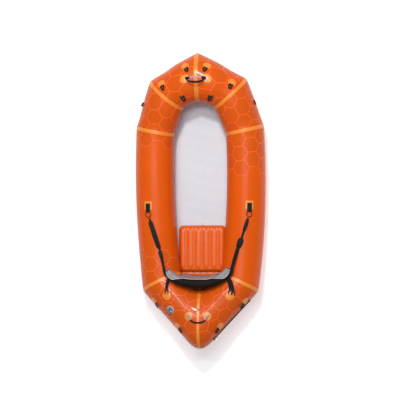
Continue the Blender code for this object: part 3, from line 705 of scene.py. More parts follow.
class PrintPlan:
    """Turns spots on a panel into coordinates of its printed honeycomb."""

    def __init__(self, panel, side):
        layout = PRINTS[panel.name, side]
        hand = HAND[side]
        middle = panel.plan(0.5)[1]
        if layout.along:
            forth, inward = Vector((0.0, -1.0)), Vector((-hand, 0.0))
        else:
            forth, inward = Vector((hand * middle.x, middle.y)), Vector((hand * middle.y, -middle.x))
        turn = Matrix.Rotation(math.radians(layout.turn), 2)
        self.forth = turn @ forth
        self.inward = turn @ inward
        self.layout = layout
        self.panel = panel
        place = Vector((layout.place[0] * hand, layout.place[1]))
        x = (place - panel.a).dot(panel.chord) / panel.length
        point, head = panel.plan(x / panel.length)
        aside = (place - point).dot(Vector((head.y, -head.x)))
        radius = panel.radius(x)
        self.x0 = x
        self.w0 = radius * math.asin(max(-1.0, min(1.0, aside / radius)))

    def at(self, x, degrees):
        w = math.radians(degrees - 90) * self.panel.radius(x)
        return self.forth * (x - self.x0) + self.inward * (w - self.w0)

    def printed(self, point):
        """1 inside a printed cell, 0 well outside; point is in print coordinates."""
        best = 9.0
        for i in range(round(point.x / (1.5 * CELL_R)) - 1, round(point.x / (1.5 * CELL_R)) + 2):
            shift = CELL_APOTHEM if i % 2 else 0.0
            j = round((point.y - shift) / (2 * CELL_APOTHEM))
            for jj in (j - 1, j, j + 1):
                centre = Vector((1.5 * CELL_R * i, shift + 2 * CELL_APOTHEM * jj))
                world = Vector(self.layout.place) + centre
                if not self.layout.printed(world.x, world.y):
                    continue
                off = point - centre
                reach = max(abs(off.y), abs(off.x) * math.sqrt(3) / 2 + abs(off.y) / 2)
                best = min(best, reach - CELL_APOTHEM)
        return min(max((0.013 - best) / 0.008, 0.0), 1.0)


def hull_panels():
    step = 0.013
    columns = 80
    for panel in PANELS:
        for side in SIDES:
            plan = PrintPlan(panel, side)
            degrees = [-90 + 360 * k / columns for k in range(columns + 1)]
            limits = [panel.limits(d) for d in degrees]
            count = max(8, math.ceil(panel.length / step))
            rows = []
            uv_rows = []
            masks = []
            for i in range(count + 1):
                t = i / count
                t = t - ROW_CROWD * math.sin(2 * math.pi * t) / (2 * math.pi) * 4
                row = []
                uv_row = []
                for d, (first, last) in zip(degrees, limits):
                    x = first + (last - first) * t
                    turn = panel.roll_at(t)
                    row.append(flip(side, panel.spot(x, d + turn, relief(panel, side, x, d, first, last))))
                    uv_row.append(plan.at(x, d + turn))
                rows.append(row[:-1])
                uv_rows.append([(p.x, p.y) for p in uv_row])
                masks.extend(plan.printed(p) for p in uv_row[:-1])
            name = f"{panel.name}_tube_{side}"
            made = grid_object(name, rows, uv_rows, MAT_HULL, wrap=True, thick=0.0008, flip_faces=side == "right")
            layer = made.data.attributes.new("print", "FLOAT", "POINT")
            layer.data.foreach_set("value", np.array(masks, np.float32))
            mount(made, "hull", "hull_fabric", f"{panel.name}_panel_{side}")


hull_panels()


# ---- seam tapes: how far they stand off the hull at the edge, in between and over the joint
TAPE_EDGE = 0.0004
TAPE_LIFT = 0.0014
TAPE_MIDDLE = 0.0015


def seam_tape(name, before, after, width, node_name):
    """A band over a joint of two panels; before and after are (panel, end, side)."""
    turns = [-35 + 5 * k for k in range(51)]
    steps = (1.0, 0.94, 0.6, 0.3)
    rows = []
    uv_rows = []

    def row(which, reach, lift):
        panel, end, side = which
        points = []
        for d in turns:
            limits = panel.limits(d)
            x = limits[end] + (reach if end == 0 else -reach)
            turn = panel.roll[end]
            base = relief(panel, side, x, d, *limits)
            points.append(flip(side, panel.spot(x, d + turn, base + lift)))
        return points

    half = width / 2
    stations = ([(before, share, -1) for share in steps] + [(after, 0.0, 1)]
                + [(after, share, 1) for share in reversed(steps)])
    for which, share, way in stations:
        rows.append(row(which, half * share, {1.0: TAPE_EDGE, 0.0: TAPE_MIDDLE}.get(share, TAPE_LIFT)))
        uv_rows.append([(math.radians(d) * 0.15, way * half * share) for d in turns])
    made = grid_object(name, rows, uv_rows, MAT_TAPE, thick=0.0011, flip_faces=after[2] == "right")
    mount(made, "hull", "tape_fabric", node_name)


def seam_tapes():
    seam_tape("bow_ridge_tape", (BOW, 0, "left"), (BOW, 0, "right"), 0.035, "bow_centre_tape")
    seam_tape("stern_ridge_tape", (STERN, 1, "right"), (STERN, 1, "left"), 0.035, "stern_centre_tape")
    for side in SIDES:
        joints = (("bow_corner_tape", BOW, SHOULDER_PANEL), ("shoulder_tape", SHOULDER_PANEL, SIDE),
                  ("stern_corner_tape", SIDE, STERN))
        for name, before, after in joints:
            seam_tape(f"{name}_band_{side}", (before, 1, side), (after, 0, side), 0.028, f"{name}_{side}")


seam_tapes()


# ---- floor sheet
def floor_sheet():
    wraps = (-60, -68, -76, -84, -90)
    across = 28
    rows = []
    uv_rows = []
    travelled = 0.0
    previous = None
    for panel in PANELS:
        count = max(6, math.ceil(panel.length / 0.03))
        for i in range(count + 1):
            if i == 0 and panel is not BOW:
                continue
            t = i / count
            right = []
            for d in wraps:
                first, last = panel.limits(d)
                turn = panel.roll_at(t)
                right.append(panel.spot(first + (last - first) * t, d + turn, 0.0006))
            inner = right[-1]
            middle = []
            for k in range(1, across):
                share = 1 - 2 * k / across
                x = inner.x * share
                wave = 0.0012 * (1 - share ** 2)
                wave *= 1 + math.sin(inner.y * 61.0 + 2.0 * math.sin(x * 9.0)) * 0.8
                middle.append(Vector((x, inner.y, inner.z + wave)))
            row = right + middle + [flip("left", p) for p in reversed(right)]
            middle_point = middle[len(middle) // 2]
            if previous is not None:
                travelled += (middle_point - previous).length
            previous = middle_point
            rows.append(row)
            widths = [0.0]
            for a, b in zip(row, row[1:]):
                widths.append(widths[-1] + (b - a).length)
            uv_rows.append([(w - widths[-1] / 2, travelled) for w in widths])
    made = grid_object("floor_cloth", rows, uv_rows, MAT_FLOOR, thick=0.0010)
    mount(made, "hull", "floor_fabric", "floor_sheet")


floor_sheet()


# ---- patches
def patch_point(panel, side, x, degrees, along, around, lift):
    """Point of a glued piece: along the tube and around it from its centre, in metres."""
    return skin(panel, side, x + along, degrees + math.degrees(around / panel.radius(x)), lift)


def round_patch(name, panel, side, x, degrees, radius, node_name, material=MAT_TAPE, slot="tape_fabric"):
    """A welded disc: thin at its very edge, with a pressed ring just inside it."""
    sides = 40
    profile = ((1.0, 0.0003), (0.985, 0.0011), (0.90, 0.0016), (0.86, 0.0011), (0.80, 0.0016), (0.4, 0.0017))
    rows = []
    uv_rows = []
    for share, lift in profile:
        turns = [2 * math.pi * k / sides for k in range(sides)]
        rows.append([patch_point(panel, side, x, degrees, radius * share * math.cos(t), radius * share * math.sin(t),
                                 lift + 0.0004) for t in turns])
        uv_rows.append([(radius * share * math.cos(t), radius * share * math.sin(t)) for t in turns + turns[:1]])
    rows.append([patch_point(panel, side, x, degrees, 0.0, 0.0, 0.0021)] * sides)
    uv_rows.append([(0.0, 0.0)] * (sides + 1))
    made = grid_object(name, rows, uv_rows, material, wrap=True, flip_faces=side == "right")
    work = bmesh.new()
    work.from_mesh(made.data)
    bmesh.ops.remove_doubles(work, verts=work.verts, dist=1e-6)
    work.to_mesh(made.data)
    work.free()
    thicken(made, 0.0008)
    return mount(made, "hull", slot, node_name)


def soft_rectangle(name, panel, side, x, degrees, long, wide, node_name):
    """A glued rectangle with rounded corners, following the tube."""
    n = 12
    corner = 0.008
    edge, lift = 0.0007, 0.0014
    rows = []
    uv_rows = []
    for i in range(n + 1):
        u = 2 * i / n - 1
        row = []
        uv = []
        for j in range(n + 1):
            v = 2 * j / n - 1
            a, b = u * long / 2, v * wide / 2
            ka = max(abs(a) - (long / 2 - corner), 0.0)
            kb = max(abs(b) - (wide / 2 - corner), 0.0)
            far = math.hypot(ka, kb)
            if far > corner:
                a -= math.copysign(ka * (1 - corner / far), a)
                b -= math.copysign(kb * (1 - corner / far), b)
            low = edge if max(abs(u), abs(v)) == 1.0 else lift
            row.append(patch_point(panel, side, x, degrees, a, b, low))
            uv.append((a, b))
        rows.append(row)
        uv_rows.append(uv)
    made = grid_object(name, rows, uv_rows, MAT_TAPE, thick=0.0007, flip_faces=side == "right")
    return mount(made, "hull", "tape_fabric", node_name)


STITCH_PITCH = 0.0032
STITCH_RADIUS = 0.00035


def stitch_line(name, points, normals, material):
    """A row of short raised stitches along a line of points."""
    length = sum((b - a).length for a, b in zip(points, points[1:]))
    path = smooth_path(points, max(3, round(length / STITCH_PITCH)))
    verts = []
    faces = []
    section = round_section(STITCH_RADIUS, 5)
    for k in range(len(path) - 1):
        a = path[k].lerp(path[k + 1], 0.12)
        b = path[k].lerp(path[k + 1], 0.88)
        near = normals[min(range(len(points)), key=lambda i: (points[i] - a).length)]
        along = (b - a).normalized()
        across = along.cross(near).normalized()
        through = across.cross(along)
        stations = ((a, 0.4), (a.lerp(b, 0.25), 1.0), (a.lerp(b, 0.75), 1.0), (b, 0.4))
        add_prism(verts, faces, [[at + (across * u + through * v) * size for u, v in section]
                                 for at, size in stations])
    made = new_object(name, verts, faces, material)
    return mount(made, "hull", "black_webbing")


# ---- webbing loops
LOOP_PATCH_R = 0.0310
BARE_PATCH_R = 0.0220    # of the patches that the CAD leaves out
LOOP_HALF_WIDTH = 0.0120
LOOP_REACH = 0.0380
LOOP_STRAP = 0.0110      # width of the webbing
LOOP_THICK = 0.0026
LOOP_TILT = 14           # degrees that a loop stands off the tube at rest
LOOP_TIP = 0.93          # the outline's highest point
LOOP_OUTLINE = ((-1.0, -0.04), (-0.99, 0.10), (-0.92, 0.30), (-0.72, 0.62), (-0.40, 0.86), (0.0, LOOP_TIP),
                (0.40, 0.86), (0.72, 0.62), (0.92, 0.30), (0.99, 0.10), (1.0, -0.04))
TIE_DOWNS = (
    # name, panel, x along it, degrees round it, way the loop points, patch in the CAD
    ("bow_inner", BOW, 0.045, 54, "over", True),
    ("bow_outer", BOW, 0.244, 63, "over", True),
    ("bow_cockpit", BOW, 0.152, 118, "over", False),
    ("shoulder_side", SHOULDER_PANEL, 0.128, 4, "over", False),
    ("stern_upper", STERN, 0.079, 34, "aft", True),
    ("stern_lower", STERN, 0.3475, 40, "aft", True),
)


def tie_down(name, panel, x, degrees, towards, side, in_cad):
    """A patch, the sewn root of the webbing, and the loop itself, which turns about its root."""
    patch = f"{name}_patch_{side}" if in_cad else None
    radius, material, slot = ((LOOP_PATCH_R, MAT_TAPE, "tape_fabric") if in_cad
                              else (BARE_PATCH_R, MAT_HULL, "hull_fabric"))
    round_patch(f"{name}_disc_{side}", panel, side, x, degrees, radius, patch, material, slot)
    edge = LOOP_PATCH_R - 0.004
    if towards == "aft":
        root_x, root_degrees = x + edge, degrees
    else:
        root_x, root_degrees = x, degrees + math.degrees(edge / panel.radius(x))
    along, round_up, out = panel.spot_axes(root_x, root_degrees)
    reach = flip(side, along if towards == "aft" else round_up)
    out = flip(side, out)
    hinge = flip(side, panel.spot(root_x, root_degrees, 0.0054))
    tilt = math.radians(LOOP_TILT)
    reach, out = reach * math.cos(tilt) + out * math.sin(tilt), out * math.cos(tilt) - reach * math.sin(tilt)
    place = placed(hinge, reach.cross(out), reach, out)
    long = LOOP_REACH - LOOP_STRAP / 2
    path = smooth_path([Vector((a * LOOP_HALF_WIDTH, b * long / LOOP_TIP, 0.0004 * math.sin(a * 3)))
                        for a, b in LOOP_OUTLINE], 36)
    sections = [rounded_section(LOOP_STRAP * (1.0 + 0.10 * math.sin(math.pi * k / 35)), LOOP_THICK) for k in range(36)]
    loop = sweep(f"{name}_webbing_{side}", moved(path, place), [out] * len(path), sections, MAT_WEBBING)
    mount(loop, f"{name}_loop_{side}", "black_webbing", f"{name}_loop_{side}")
    root = [place @ Vector((0.0, y, z)) for y, z in
            ((0.0060, 0.0010), (0.0015, 0.0012), (-0.005, -0.0004), (-0.011, -0.0020), (-0.017, -0.0024))]
    strip(f"{name}_root_{side}", root, 12, out, rounded_section(2 * LOOP_HALF_WIDTH + LOOP_STRAP + 0.001, 0.0022),
          MAT_WEBBING, "hull", "black_webbing")
    corners = [(-0.0125, -0.0075), (0.0125, -0.0075), (0.0125, -0.0015), (-0.0125, -0.0015), (-0.0125, -0.0075),
               (0.0125, -0.0015)]
    stitches = []
    for (a, b), (c, d) in zip(corners, corners[1:]):
        stitches += [place @ Vector((a + (c - a) * k / 8, b - 0.005 + (d - b) * k / 8, 0.0004)) for k in range(8)]
    stitch_line(f"{name}_stitches_{side}", stitches, [out] * len(stitches), MAT_PALE_THREAD)


def tie_downs():
    for name, panel, x, degrees, towards, in_cad in TIE_DOWNS:
        for side in SIDES:
            tie_down(name, panel, x, degrees, towards, side, in_cad)


tie_downs()


# ---- carrying handles
HANDLE_PATCH_R = 0.0320
HANDLE_REACH = 0.0460
BOW_HANDLE_AT = (0.084, 87)       # metres along its panel and degrees round it
BOW_HANDLE_SPAN = 0.0660
STERN_HANDLE_AT = (0.360, 92.5)
STERN_HANDLE_SPAN = 0.0640
CORD_RADIUS = 0.0055


def handle_frame(root, rise_by, lean_degrees):
    lean = math.radians(lean_degrees)
    reach = Vector((0, -math.cos(lean), math.sin(lean)))
    face = Vector((0, math.sin(lean), math.cos(lean)))
    return placed(Vector((0, root.y, root.z + rise_by)), reach.cross(face), reach, face)


def handle_patches(end, panel, x, degrees):
    for side in SIDES:
        round_patch(f"{end}_handle_disc_{side}", panel, side, x, degrees, HANDLE_PATCH_R, f"{end}_handle_patch_{side}")
    return panel.spot(x, degrees, 0.0026)


def handle_arch(half_span, fullness, steps):
    turns = [math.pi * k / steps for k in range(steps + 1)]
    return smooth_path([Vector((half_span * math.cos(t), HANDLE_REACH * math.sin(t) ** fullness, 0.0))
                        for t in turns], steps + 1)


def bow_handle():
    """A webbing strap arched between two patches over a grey strip that paints the strap's sheen, its ends folded
    under and sewn.
    """
    x, degrees = BOW_HANDLE_AT
    span = BOW_HANDLE_SPAN
    root = handle_patches("bow", BOW, x, degrees)
    place = handle_frame(root, 0.013, 45)
    steps = 44
    path = handle_arch(span, 0.6, steps)
    normals = []
    for k in range(len(path)):
        run = (path[min(k + 1, steps)] - path[max(k - 1, 0)]).normalized()
        normals.append(place.to_3x3() @ run.cross(Vector((0, 0, 1))))
    strap = sweep("bow_handle_strap", moved(path, place), normals, rounded_section(0.018, 0.0034), MAT_WEBBING)
    mount(strap, "bow_handle", "black_webbing", "bow_handle")
    # a grey strip under the strap that stands for a painted sheen along the webbing
    base = []
    for k in range(-14, 15):
        share = abs(k) / 14
        side = "right" if k >= 0 else "left"
        at = skin(BOW, side, x * share * 0.98, degrees, 0.0044)
        base.append(Vector((root.x * 0.96 * k / 14, root.y + 0.008, at.z)))
    under = sweep("bow_handle_sheen_strip", base, [Vector((0, 0.15, 1)).normalized()] * len(base),
                  rounded_section(0.012, 0.0020), MAT_GREY_WEBBING_AND_SHEEN)
    mount(under, "hull", "black_webbing")
    for side in SIDES:
        points = [Vector((HAND[side] * span * u, root.y + v, root.z + w)) for u, v, w in
                  ((0.70, 0.004, 0.0058), (0.86, 0.003, 0.0085), (1.00, 0.001, 0.0095), (1.10, -0.001, 0.0075),
                   (1.20, -0.003, 0.0020))]
        strip(f"bow_handle_tab_{side}", points, 16, Vector((0, 0, 1)), rounded_section(0.021, 0.0026), MAT_WEBBING,
              "hull", "black_webbing")


def stern_handle():
    """A sleeved cord that hangs aft between two patches, held by pale webbing tabs."""
    root = handle_patches("stern", STERN, *STERN_HANDLE_AT)
    place = handle_frame(root, CORD_RADIUS + 0.006, 15)
    path = handle_arch(STERN_HANDLE_SPAN, 0.8, 48)
    normals = [place.to_3x3() @ Vector((0, 0, 1))] * len(path)
    cord = sweep("stern_handle_cord", moved(path, place), normals, round_section(CORD_RADIUS, 14), MAT_SLEEVE)
    mount(cord, "stern_handle", "black_webbing", "stern_handle")
    for side in SIDES:
        points = [place @ Vector((-HAND[side] * a, b, c)) for a, b, c in
                  ((0.090, -0.016, -0.0072), (0.082, -0.010, -0.0068), (0.073, -0.003, -0.0040),
                   (0.066, 0.006, 0.0050), (0.060, 0.019, 0.0075), (0.056, 0.027, 0.0040))]
        strip(f"stern_handle_tab_{side}", points, 22, Vector((0, 0, 1)), rounded_section(0.013, 0.0024),
              MAT_GREY_WEBBING_AND_SHEEN, "hull", "black_webbing")


bow_handle()
stern_handle()


# ---- main valve and zip
VALVE_AT = (0.2235, 64.5)         # metres along the left stern panel and degrees round it
VALVE_PROFILE = ((0.0, -0.0005), (0.0310, -0.0005), (0.0318, 0.0006), (0.0312, 0.0018), (0.0298, 0.0026),
                 (0.0270, 0.0024), (0.0262, 0.0032), (0.0246, 0.0034), (0.0190, 0.0034), (0.0186, 0.0089),
                 (0.0, 0.0089))
CAP_PROFILE = ((0.0194, 0.0094), (0.0194, 0.0040), (0.0228, 0.0037), (0.0236, 0.0048), (0.0236, 0.0104),
               (0.0226, 0.0122), (0.0206, 0.0126), (0.0192, 0.0116), (0.0150, 0.0112), (0.0060, 0.0113))
ZIP_FROM = 0.0450
ZIP_TO = 0.4580
ZIP_DEGREES = 14
TOOTH_PITCH = 0.0042
TOOTH_LONG = 0.0024
TOOTH_SECTION = ((0.0002, 0.0012), (0.0034, 0.0012), (0.0034, 0.0036), (0.0026, 0.0044), (0.0002, 0.0044))
SLIDER_REST = 0.3945              # metres along the zip


def main_valve():
    """A welded flange and a cap with finger notches and a raised bar across it."""
    x, degrees = VALVE_AT
    along, _, out = (flip("left", v) for v in STERN.spot_axes(x, degrees))
    seat = flip("left", STERN.spot(x, degrees, 0.0041))
    place = placed(seat, along, out.cross(along), out)
    body = turned("valve_flange", VALVE_PROFILE, place, MAT_VALVE)
    mount(body, "hull", "valve_plastic", "valve_body")
    sides = 96
    verts = []
    rows = []
    for radius, height in CAP_PROFILE:
        rows.append([len(verts) + k for k in range(sides)])
        for k in range(sides):
            turn = 2 * math.pi * k / sides
            notch = 0.0007 * max(0.0, math.cos(turn * 16)) if radius > 0.0225 else 0.0
            across = abs(math.sin(turn))
            raised = 0.0016 if radius < 0.016 and across * radius < 0.0035 else 0.0
            verts.append(place @ Vector(((radius - notch) * math.cos(turn), (radius - notch) * math.sin(turn),
                                         height + raised)))
    faces = []
    for low, high in zip(rows, rows[1:]):
        for k in range(sides):
            faces.append([low[k], low[(k + 1) % sides], high[(k + 1) % sides], high[k]])
    for row, height, flip_order in ((rows[0], 0.0094, True), (rows[-1], 0.0121, False)):
        middle = len(verts)
        verts.append(place @ Vector((0, 0, height)))
        for k in range(sides):
            loop = [row[k], row[(k + 1) % sides], middle]
            faces.append(loop[::-1] if flip_order else loop)
    cap = new_object("valve_lid", verts, faces, MAT_VALVE_LID, sharp=30)
    mount(cap, "valve_cap", "valve_plastic", "valve_cap")


def cargo_zip():
    """Airtight zip: a glued rubber band, two rows of teeth and a metal slider with its pull."""
    start, end = (STERN.spot(x, ZIP_DEGREES, 0.0016) for x in (ZIP_FROM, ZIP_TO))
    run = (end - start).normalized()
    out = STERN.spot_axes((ZIP_FROM + ZIP_TO) / 2, ZIP_DEGREES)[2]
    out = (out - run * out.dot(run)).normalized()
    across = out.cross(run)
    place = placed(start, run, across, out)
    length = (end - start).length
    path = [place @ Vector((length * k / 40, 0.0, 0.0006)) for k in range(41)]
    band = sweep("zip_band", path, [out] * 41, rounded_section(0.024, 0.0014), MAT_BLACK)
    mount(band, "hull", "black_plastic", "cargo_zip")
    for hand in (-1, 1):
        verts = []
        faces = []
        for k in range(int((length - 0.016) / TOOTH_PITCH)):
            x0 = 0.008 + k * TOOTH_PITCH + (TOOTH_PITCH / 2 if hand > 0 else 0.0)
            add_prism(verts, faces, [[place @ Vector((x0 + dx, hand * y, z)) for y, z in TOOTH_SECTION]
                                     for dx in (0.0, TOOTH_LONG)])
        teeth = new_object(f"zip_teeth_{'ab'[hand > 0]}", verts, faces, MAT_BLACK, smooth=False)
        face_outward(teeth)
        mount(teeth, "hull", "black_plastic")
    for name, at in (("zip_stop_fore", 0.004), ("zip_stop_aft", length - 0.004)):
        path = [place @ Vector((at - 0.005 + 0.010 * k / 6, 0.0, 0.0035)) for k in range(7)]
        stop = sweep(name, path, [out] * 7, rounded_section(0.022, 0.0062), MAT_BLACK)
        mount(stop, "hull", "black_plastic")
    stations = ((-0.0120, 0.62), (-0.0105, 0.84), (-0.0060, 1.0), (0.0060, 1.0), (0.0105, 0.84), (0.0120, 0.62))
    section = rounded_section(0.017, 0.0044, 4)
    path = [place @ Vector((SLIDER_REST + x, 0.0, 0.0075)) for x, _ in stations]
    slider = sweep("zip_slider_body", path, [out] * len(path), [[(a * s, b) for a, b in section] for _, s in stations],
                   MAT_METAL)
    mount(slider, "zip_slider", "slider_metal", "zip_slider")
    pull = [place @ Vector((SLIDER_REST + 0.004 - 0.0006 * k, 0.0022 * k, 0.0110 + 0.0016 * math.sin(k * 0.4)))
            for k in range(10)]
    tag = sweep("zip_slider_pull", pull, [out] * 10, rounded_section(0.010, 0.0020), MAT_METAL)
    mount(tag, "zip_slider", "slider_metal")


main_valve()
cargo_zip()


# ---- seat cushion
SEAT_WIDTH = 0.3760
SEAT_LENGTH = 0.3680
SEAT_HALF_THICK = 0.0300
SEAT_RIBS = 6
SEAT_CORNER = 0.034
SEAT_VALVE_PROFILE = ((0.0, 0.0002), (0.0085, 0.0002), (0.0088, 0.0012), (0.0082, 0.0022), (0.0074, 0.0024),
                      (0.0074, 0.0066), (0.0062, 0.0078), (0.0056, 0.0082), (0.0056, 0.0158), (0.0048, 0.0168),
                      (0.0022, 0.0168), (0.0020, 0.0140), (0.0, 0.0140))
SEAT_PLACE = Matrix.Translation(Vector((0.0, -0.3800, 0.0500))) @ Matrix.Rotation(math.radians(-3.6), 4, "X")


def ease(value, low, high):
    t = min(max((value - low) / (high - low), 0.0), 1.0)
    return t * t * (3 - 2 * t)


def seat_height(x, y):
    """Half thickness of the air cushion over its middle plane: its rolls, ribs and the creases between them."""
    corner = 0.032
    dx = SEAT_WIDTH / 2 - 0.004 - abs(x)
    dy = SEAT_LENGTH / 2 - 0.004 - abs(y)
    inset = min(dx, dy)
    if dx < corner and dy < corner:
        inset = corner - math.hypot(corner - dx, corner - dy)
    if inset <= 0:
        return 0.0009
    edge = math.sqrt(max(0.0, 1 - (1 - min(inset / 0.030, 1.0)) ** 2))
    rib = SEAT_WIDTH / SEAT_RIBS
    phase = (x + SEAT_WIDTH / 2) / rib % 1.0
    crest = abs(math.sin(math.pi * phase)) ** 1.15
    front = y > 0
    run_in = ease(dy, 0.020, 0.046) if front else ease(dy, 0.012, 0.034)
    run_in *= ease(dx, 0.012, 0.044)
    crown = ease(dy, 0.018, 0.050)
    share = 0.83 + 0.17 * crown * (0.25 + 0.75 * crest) - 0.11 * (1 - crest) * run_in
    pucker = 0.0014 * math.exp(-((dy - 0.026) / 0.012) ** 2) * math.sin(x * 4 * math.pi / rib + 0.6)
    flow = 0.0012 * noise.noise(Vector((x * 16, y * 7, 3.1)))
    return max(0.0009, (SEAT_HALF_THICK * share + pucker + flow) * edge)


def seat():
    n = 140
    rows_top = []
    rows_low = []
    uv_rows = []
    for i in range(n + 1):
        y = SEAT_LENGTH * (i / n - 0.5)
        top = []
        low = []
        uv = []
        for j in range(n + 1):
            x = SEAT_WIDTH * (j / n - 0.5)
            kx = max(abs(x) - (SEAT_WIDTH / 2 - SEAT_CORNER), 0.0)
            ky = max(abs(y) - (SEAT_LENGTH / 2 - SEAT_CORNER), 0.0)
            far = math.hypot(kx, ky)
            px, py = x, y
            if far > 0:
                square = max(kx, ky)
                px -= math.copysign(kx * (1 - square / far), x)
                py -= math.copysign(ky * (1 - square / far), y)
            h = seat_height(px, py)
            top.append(SEAT_PLACE @ Vector((px, py, h)))
            low.append(SEAT_PLACE @ Vector((px, py, -min(h * 0.98, 0.026))))
            uv.append((px, py))
        rows_top.append(top)
        rows_low.append(low)
        uv_rows.append(uv)
    m = n + 1
    verts = [p for row in rows_top for p in row] + [p for row in rows_low for p in row]
    faces = []
    uv = []
    under = m * m
    for i in range(n):
        for j in range(n):
            corners = [(i, j), (i, j + 1), (i + 1, j + 1), (i + 1, j)]
            faces.append([a * m + b for a, b in corners])
            uv.extend(uv_rows[a][b] for a, b in corners)
            faces.append([under + a * m + b for a, b in reversed(corners)])
            uv.extend(uv_rows[a][b] for a, b in reversed(corners))
    rim = ([(0, j) for j in range(n)] + [(i, n) for i in range(n)] + [(n, j) for j in range(n, 0, -1)]
           + [(i, 0) for i in range(n, 0, -1)])
    for k in range(len(rim)):
        a, b = rim[k], rim[(k + 1) % len(rim)]
        faces.append([b[0] * m + b[1], a[0] * m + a[1], under + a[0] * m + a[1], under + b[0] * m + b[1]])
        uv.extend([uv_rows[b[0]][b[1]], uv_rows[a[0]][a[1]], uv_rows[a[0]][a[1]], uv_rows[b[0]][b[1]]])
    made = new_object("seat_pad", verts, faces, MAT_SEAT, uv)
    mount(made, "hull", "seat_fabric", "seat_cushion")
    lip = []
    for k in range(25):
        x = SEAT_WIDTH * 0.47 * (k / 12 - 1)
        y = -SEAT_LENGTH / 2 - 0.010 + 0.004 * (k / 12 - 1) ** 4
        lip.append(SEAT_PLACE @ Vector((x, y, -0.012 + 0.0020 * math.sin(k * 1.7))))
    flap = sweep("seat_lip", lip, [Vector((0, 0.15, 1)).normalized()] * 25, rounded_section(0.032, 0.0030), MAT_SEAT)
    mount(flap, "hull", "seat_fabric")
    across, forward = Vector((1, 0, 0)), SEAT_PLACE.to_3x3() @ Vector((0, 1, 0))
    at = SEAT_PLACE @ Vector((0.0, SEAT_LENGTH / 2 + 0.0004, 0.0))
    place = placed(at, across, forward.cross(across), forward)
    stem = turned("seat_valve_stem", SEAT_VALVE_PROFILE, place, MAT_SEAT_VALVE, 32)
    mount(stem, "seat_valve", "seat_valve_plastic", "seat_valve")


seat()


# ---- backrest
BACK_FRONT_Y = -0.5810
BACK_CURL = 0.0950
BACK_LEAN = math.tan(math.radians(3))
BACK_HALF = 0.2500
BACK_TOP = 0.4050
BACK_THICK = (0.0750, 0.0500)   # at its middle and at its ends
BACK_SEAM = (0.105, 0.300)      # where round its section the front face ends, at its middle and at its ends
BACK_FOOT = 0.86                # where round its section the rear face ends
BACK_TWIST = 10                 # degrees that the ends turn their faces up
BACK_SEAM_ROW = 0.20            # where the two seams lie in the list of points round a section
BACK_FOOT_ROW = 0.84


def back_levels():
    """Half width of the CAD pad at each of its levels, from its own mesh."""
    levels = {}
    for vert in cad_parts["backrest"].data.vertices:
        z = round(vert.co.z, 3)
        levels[z] = max(levels.get(z, 0.0), vert.co.x)
    return sorted(levels.items())


def back_foot(x, levels):
    """Lowest level at which the pad reaches out to x."""
    for (z0, h0), (z1, h1) in zip(levels, levels[1:]):
        if abs(x) <= h0:
            return z0
        if abs(x) <= h1:
            return z0 + (z1 - z0) * (abs(x) - h0) / (h1 - h0)
    return levels[-1][0]


def back_front(x, z):
    curl = (BACK_CURL + (0.010 if x > 0 else -0.008)) * (abs(x) / BACK_HALF) ** 3
    return BACK_FRONT_Y - (z - 0.108) * BACK_LEAN + curl


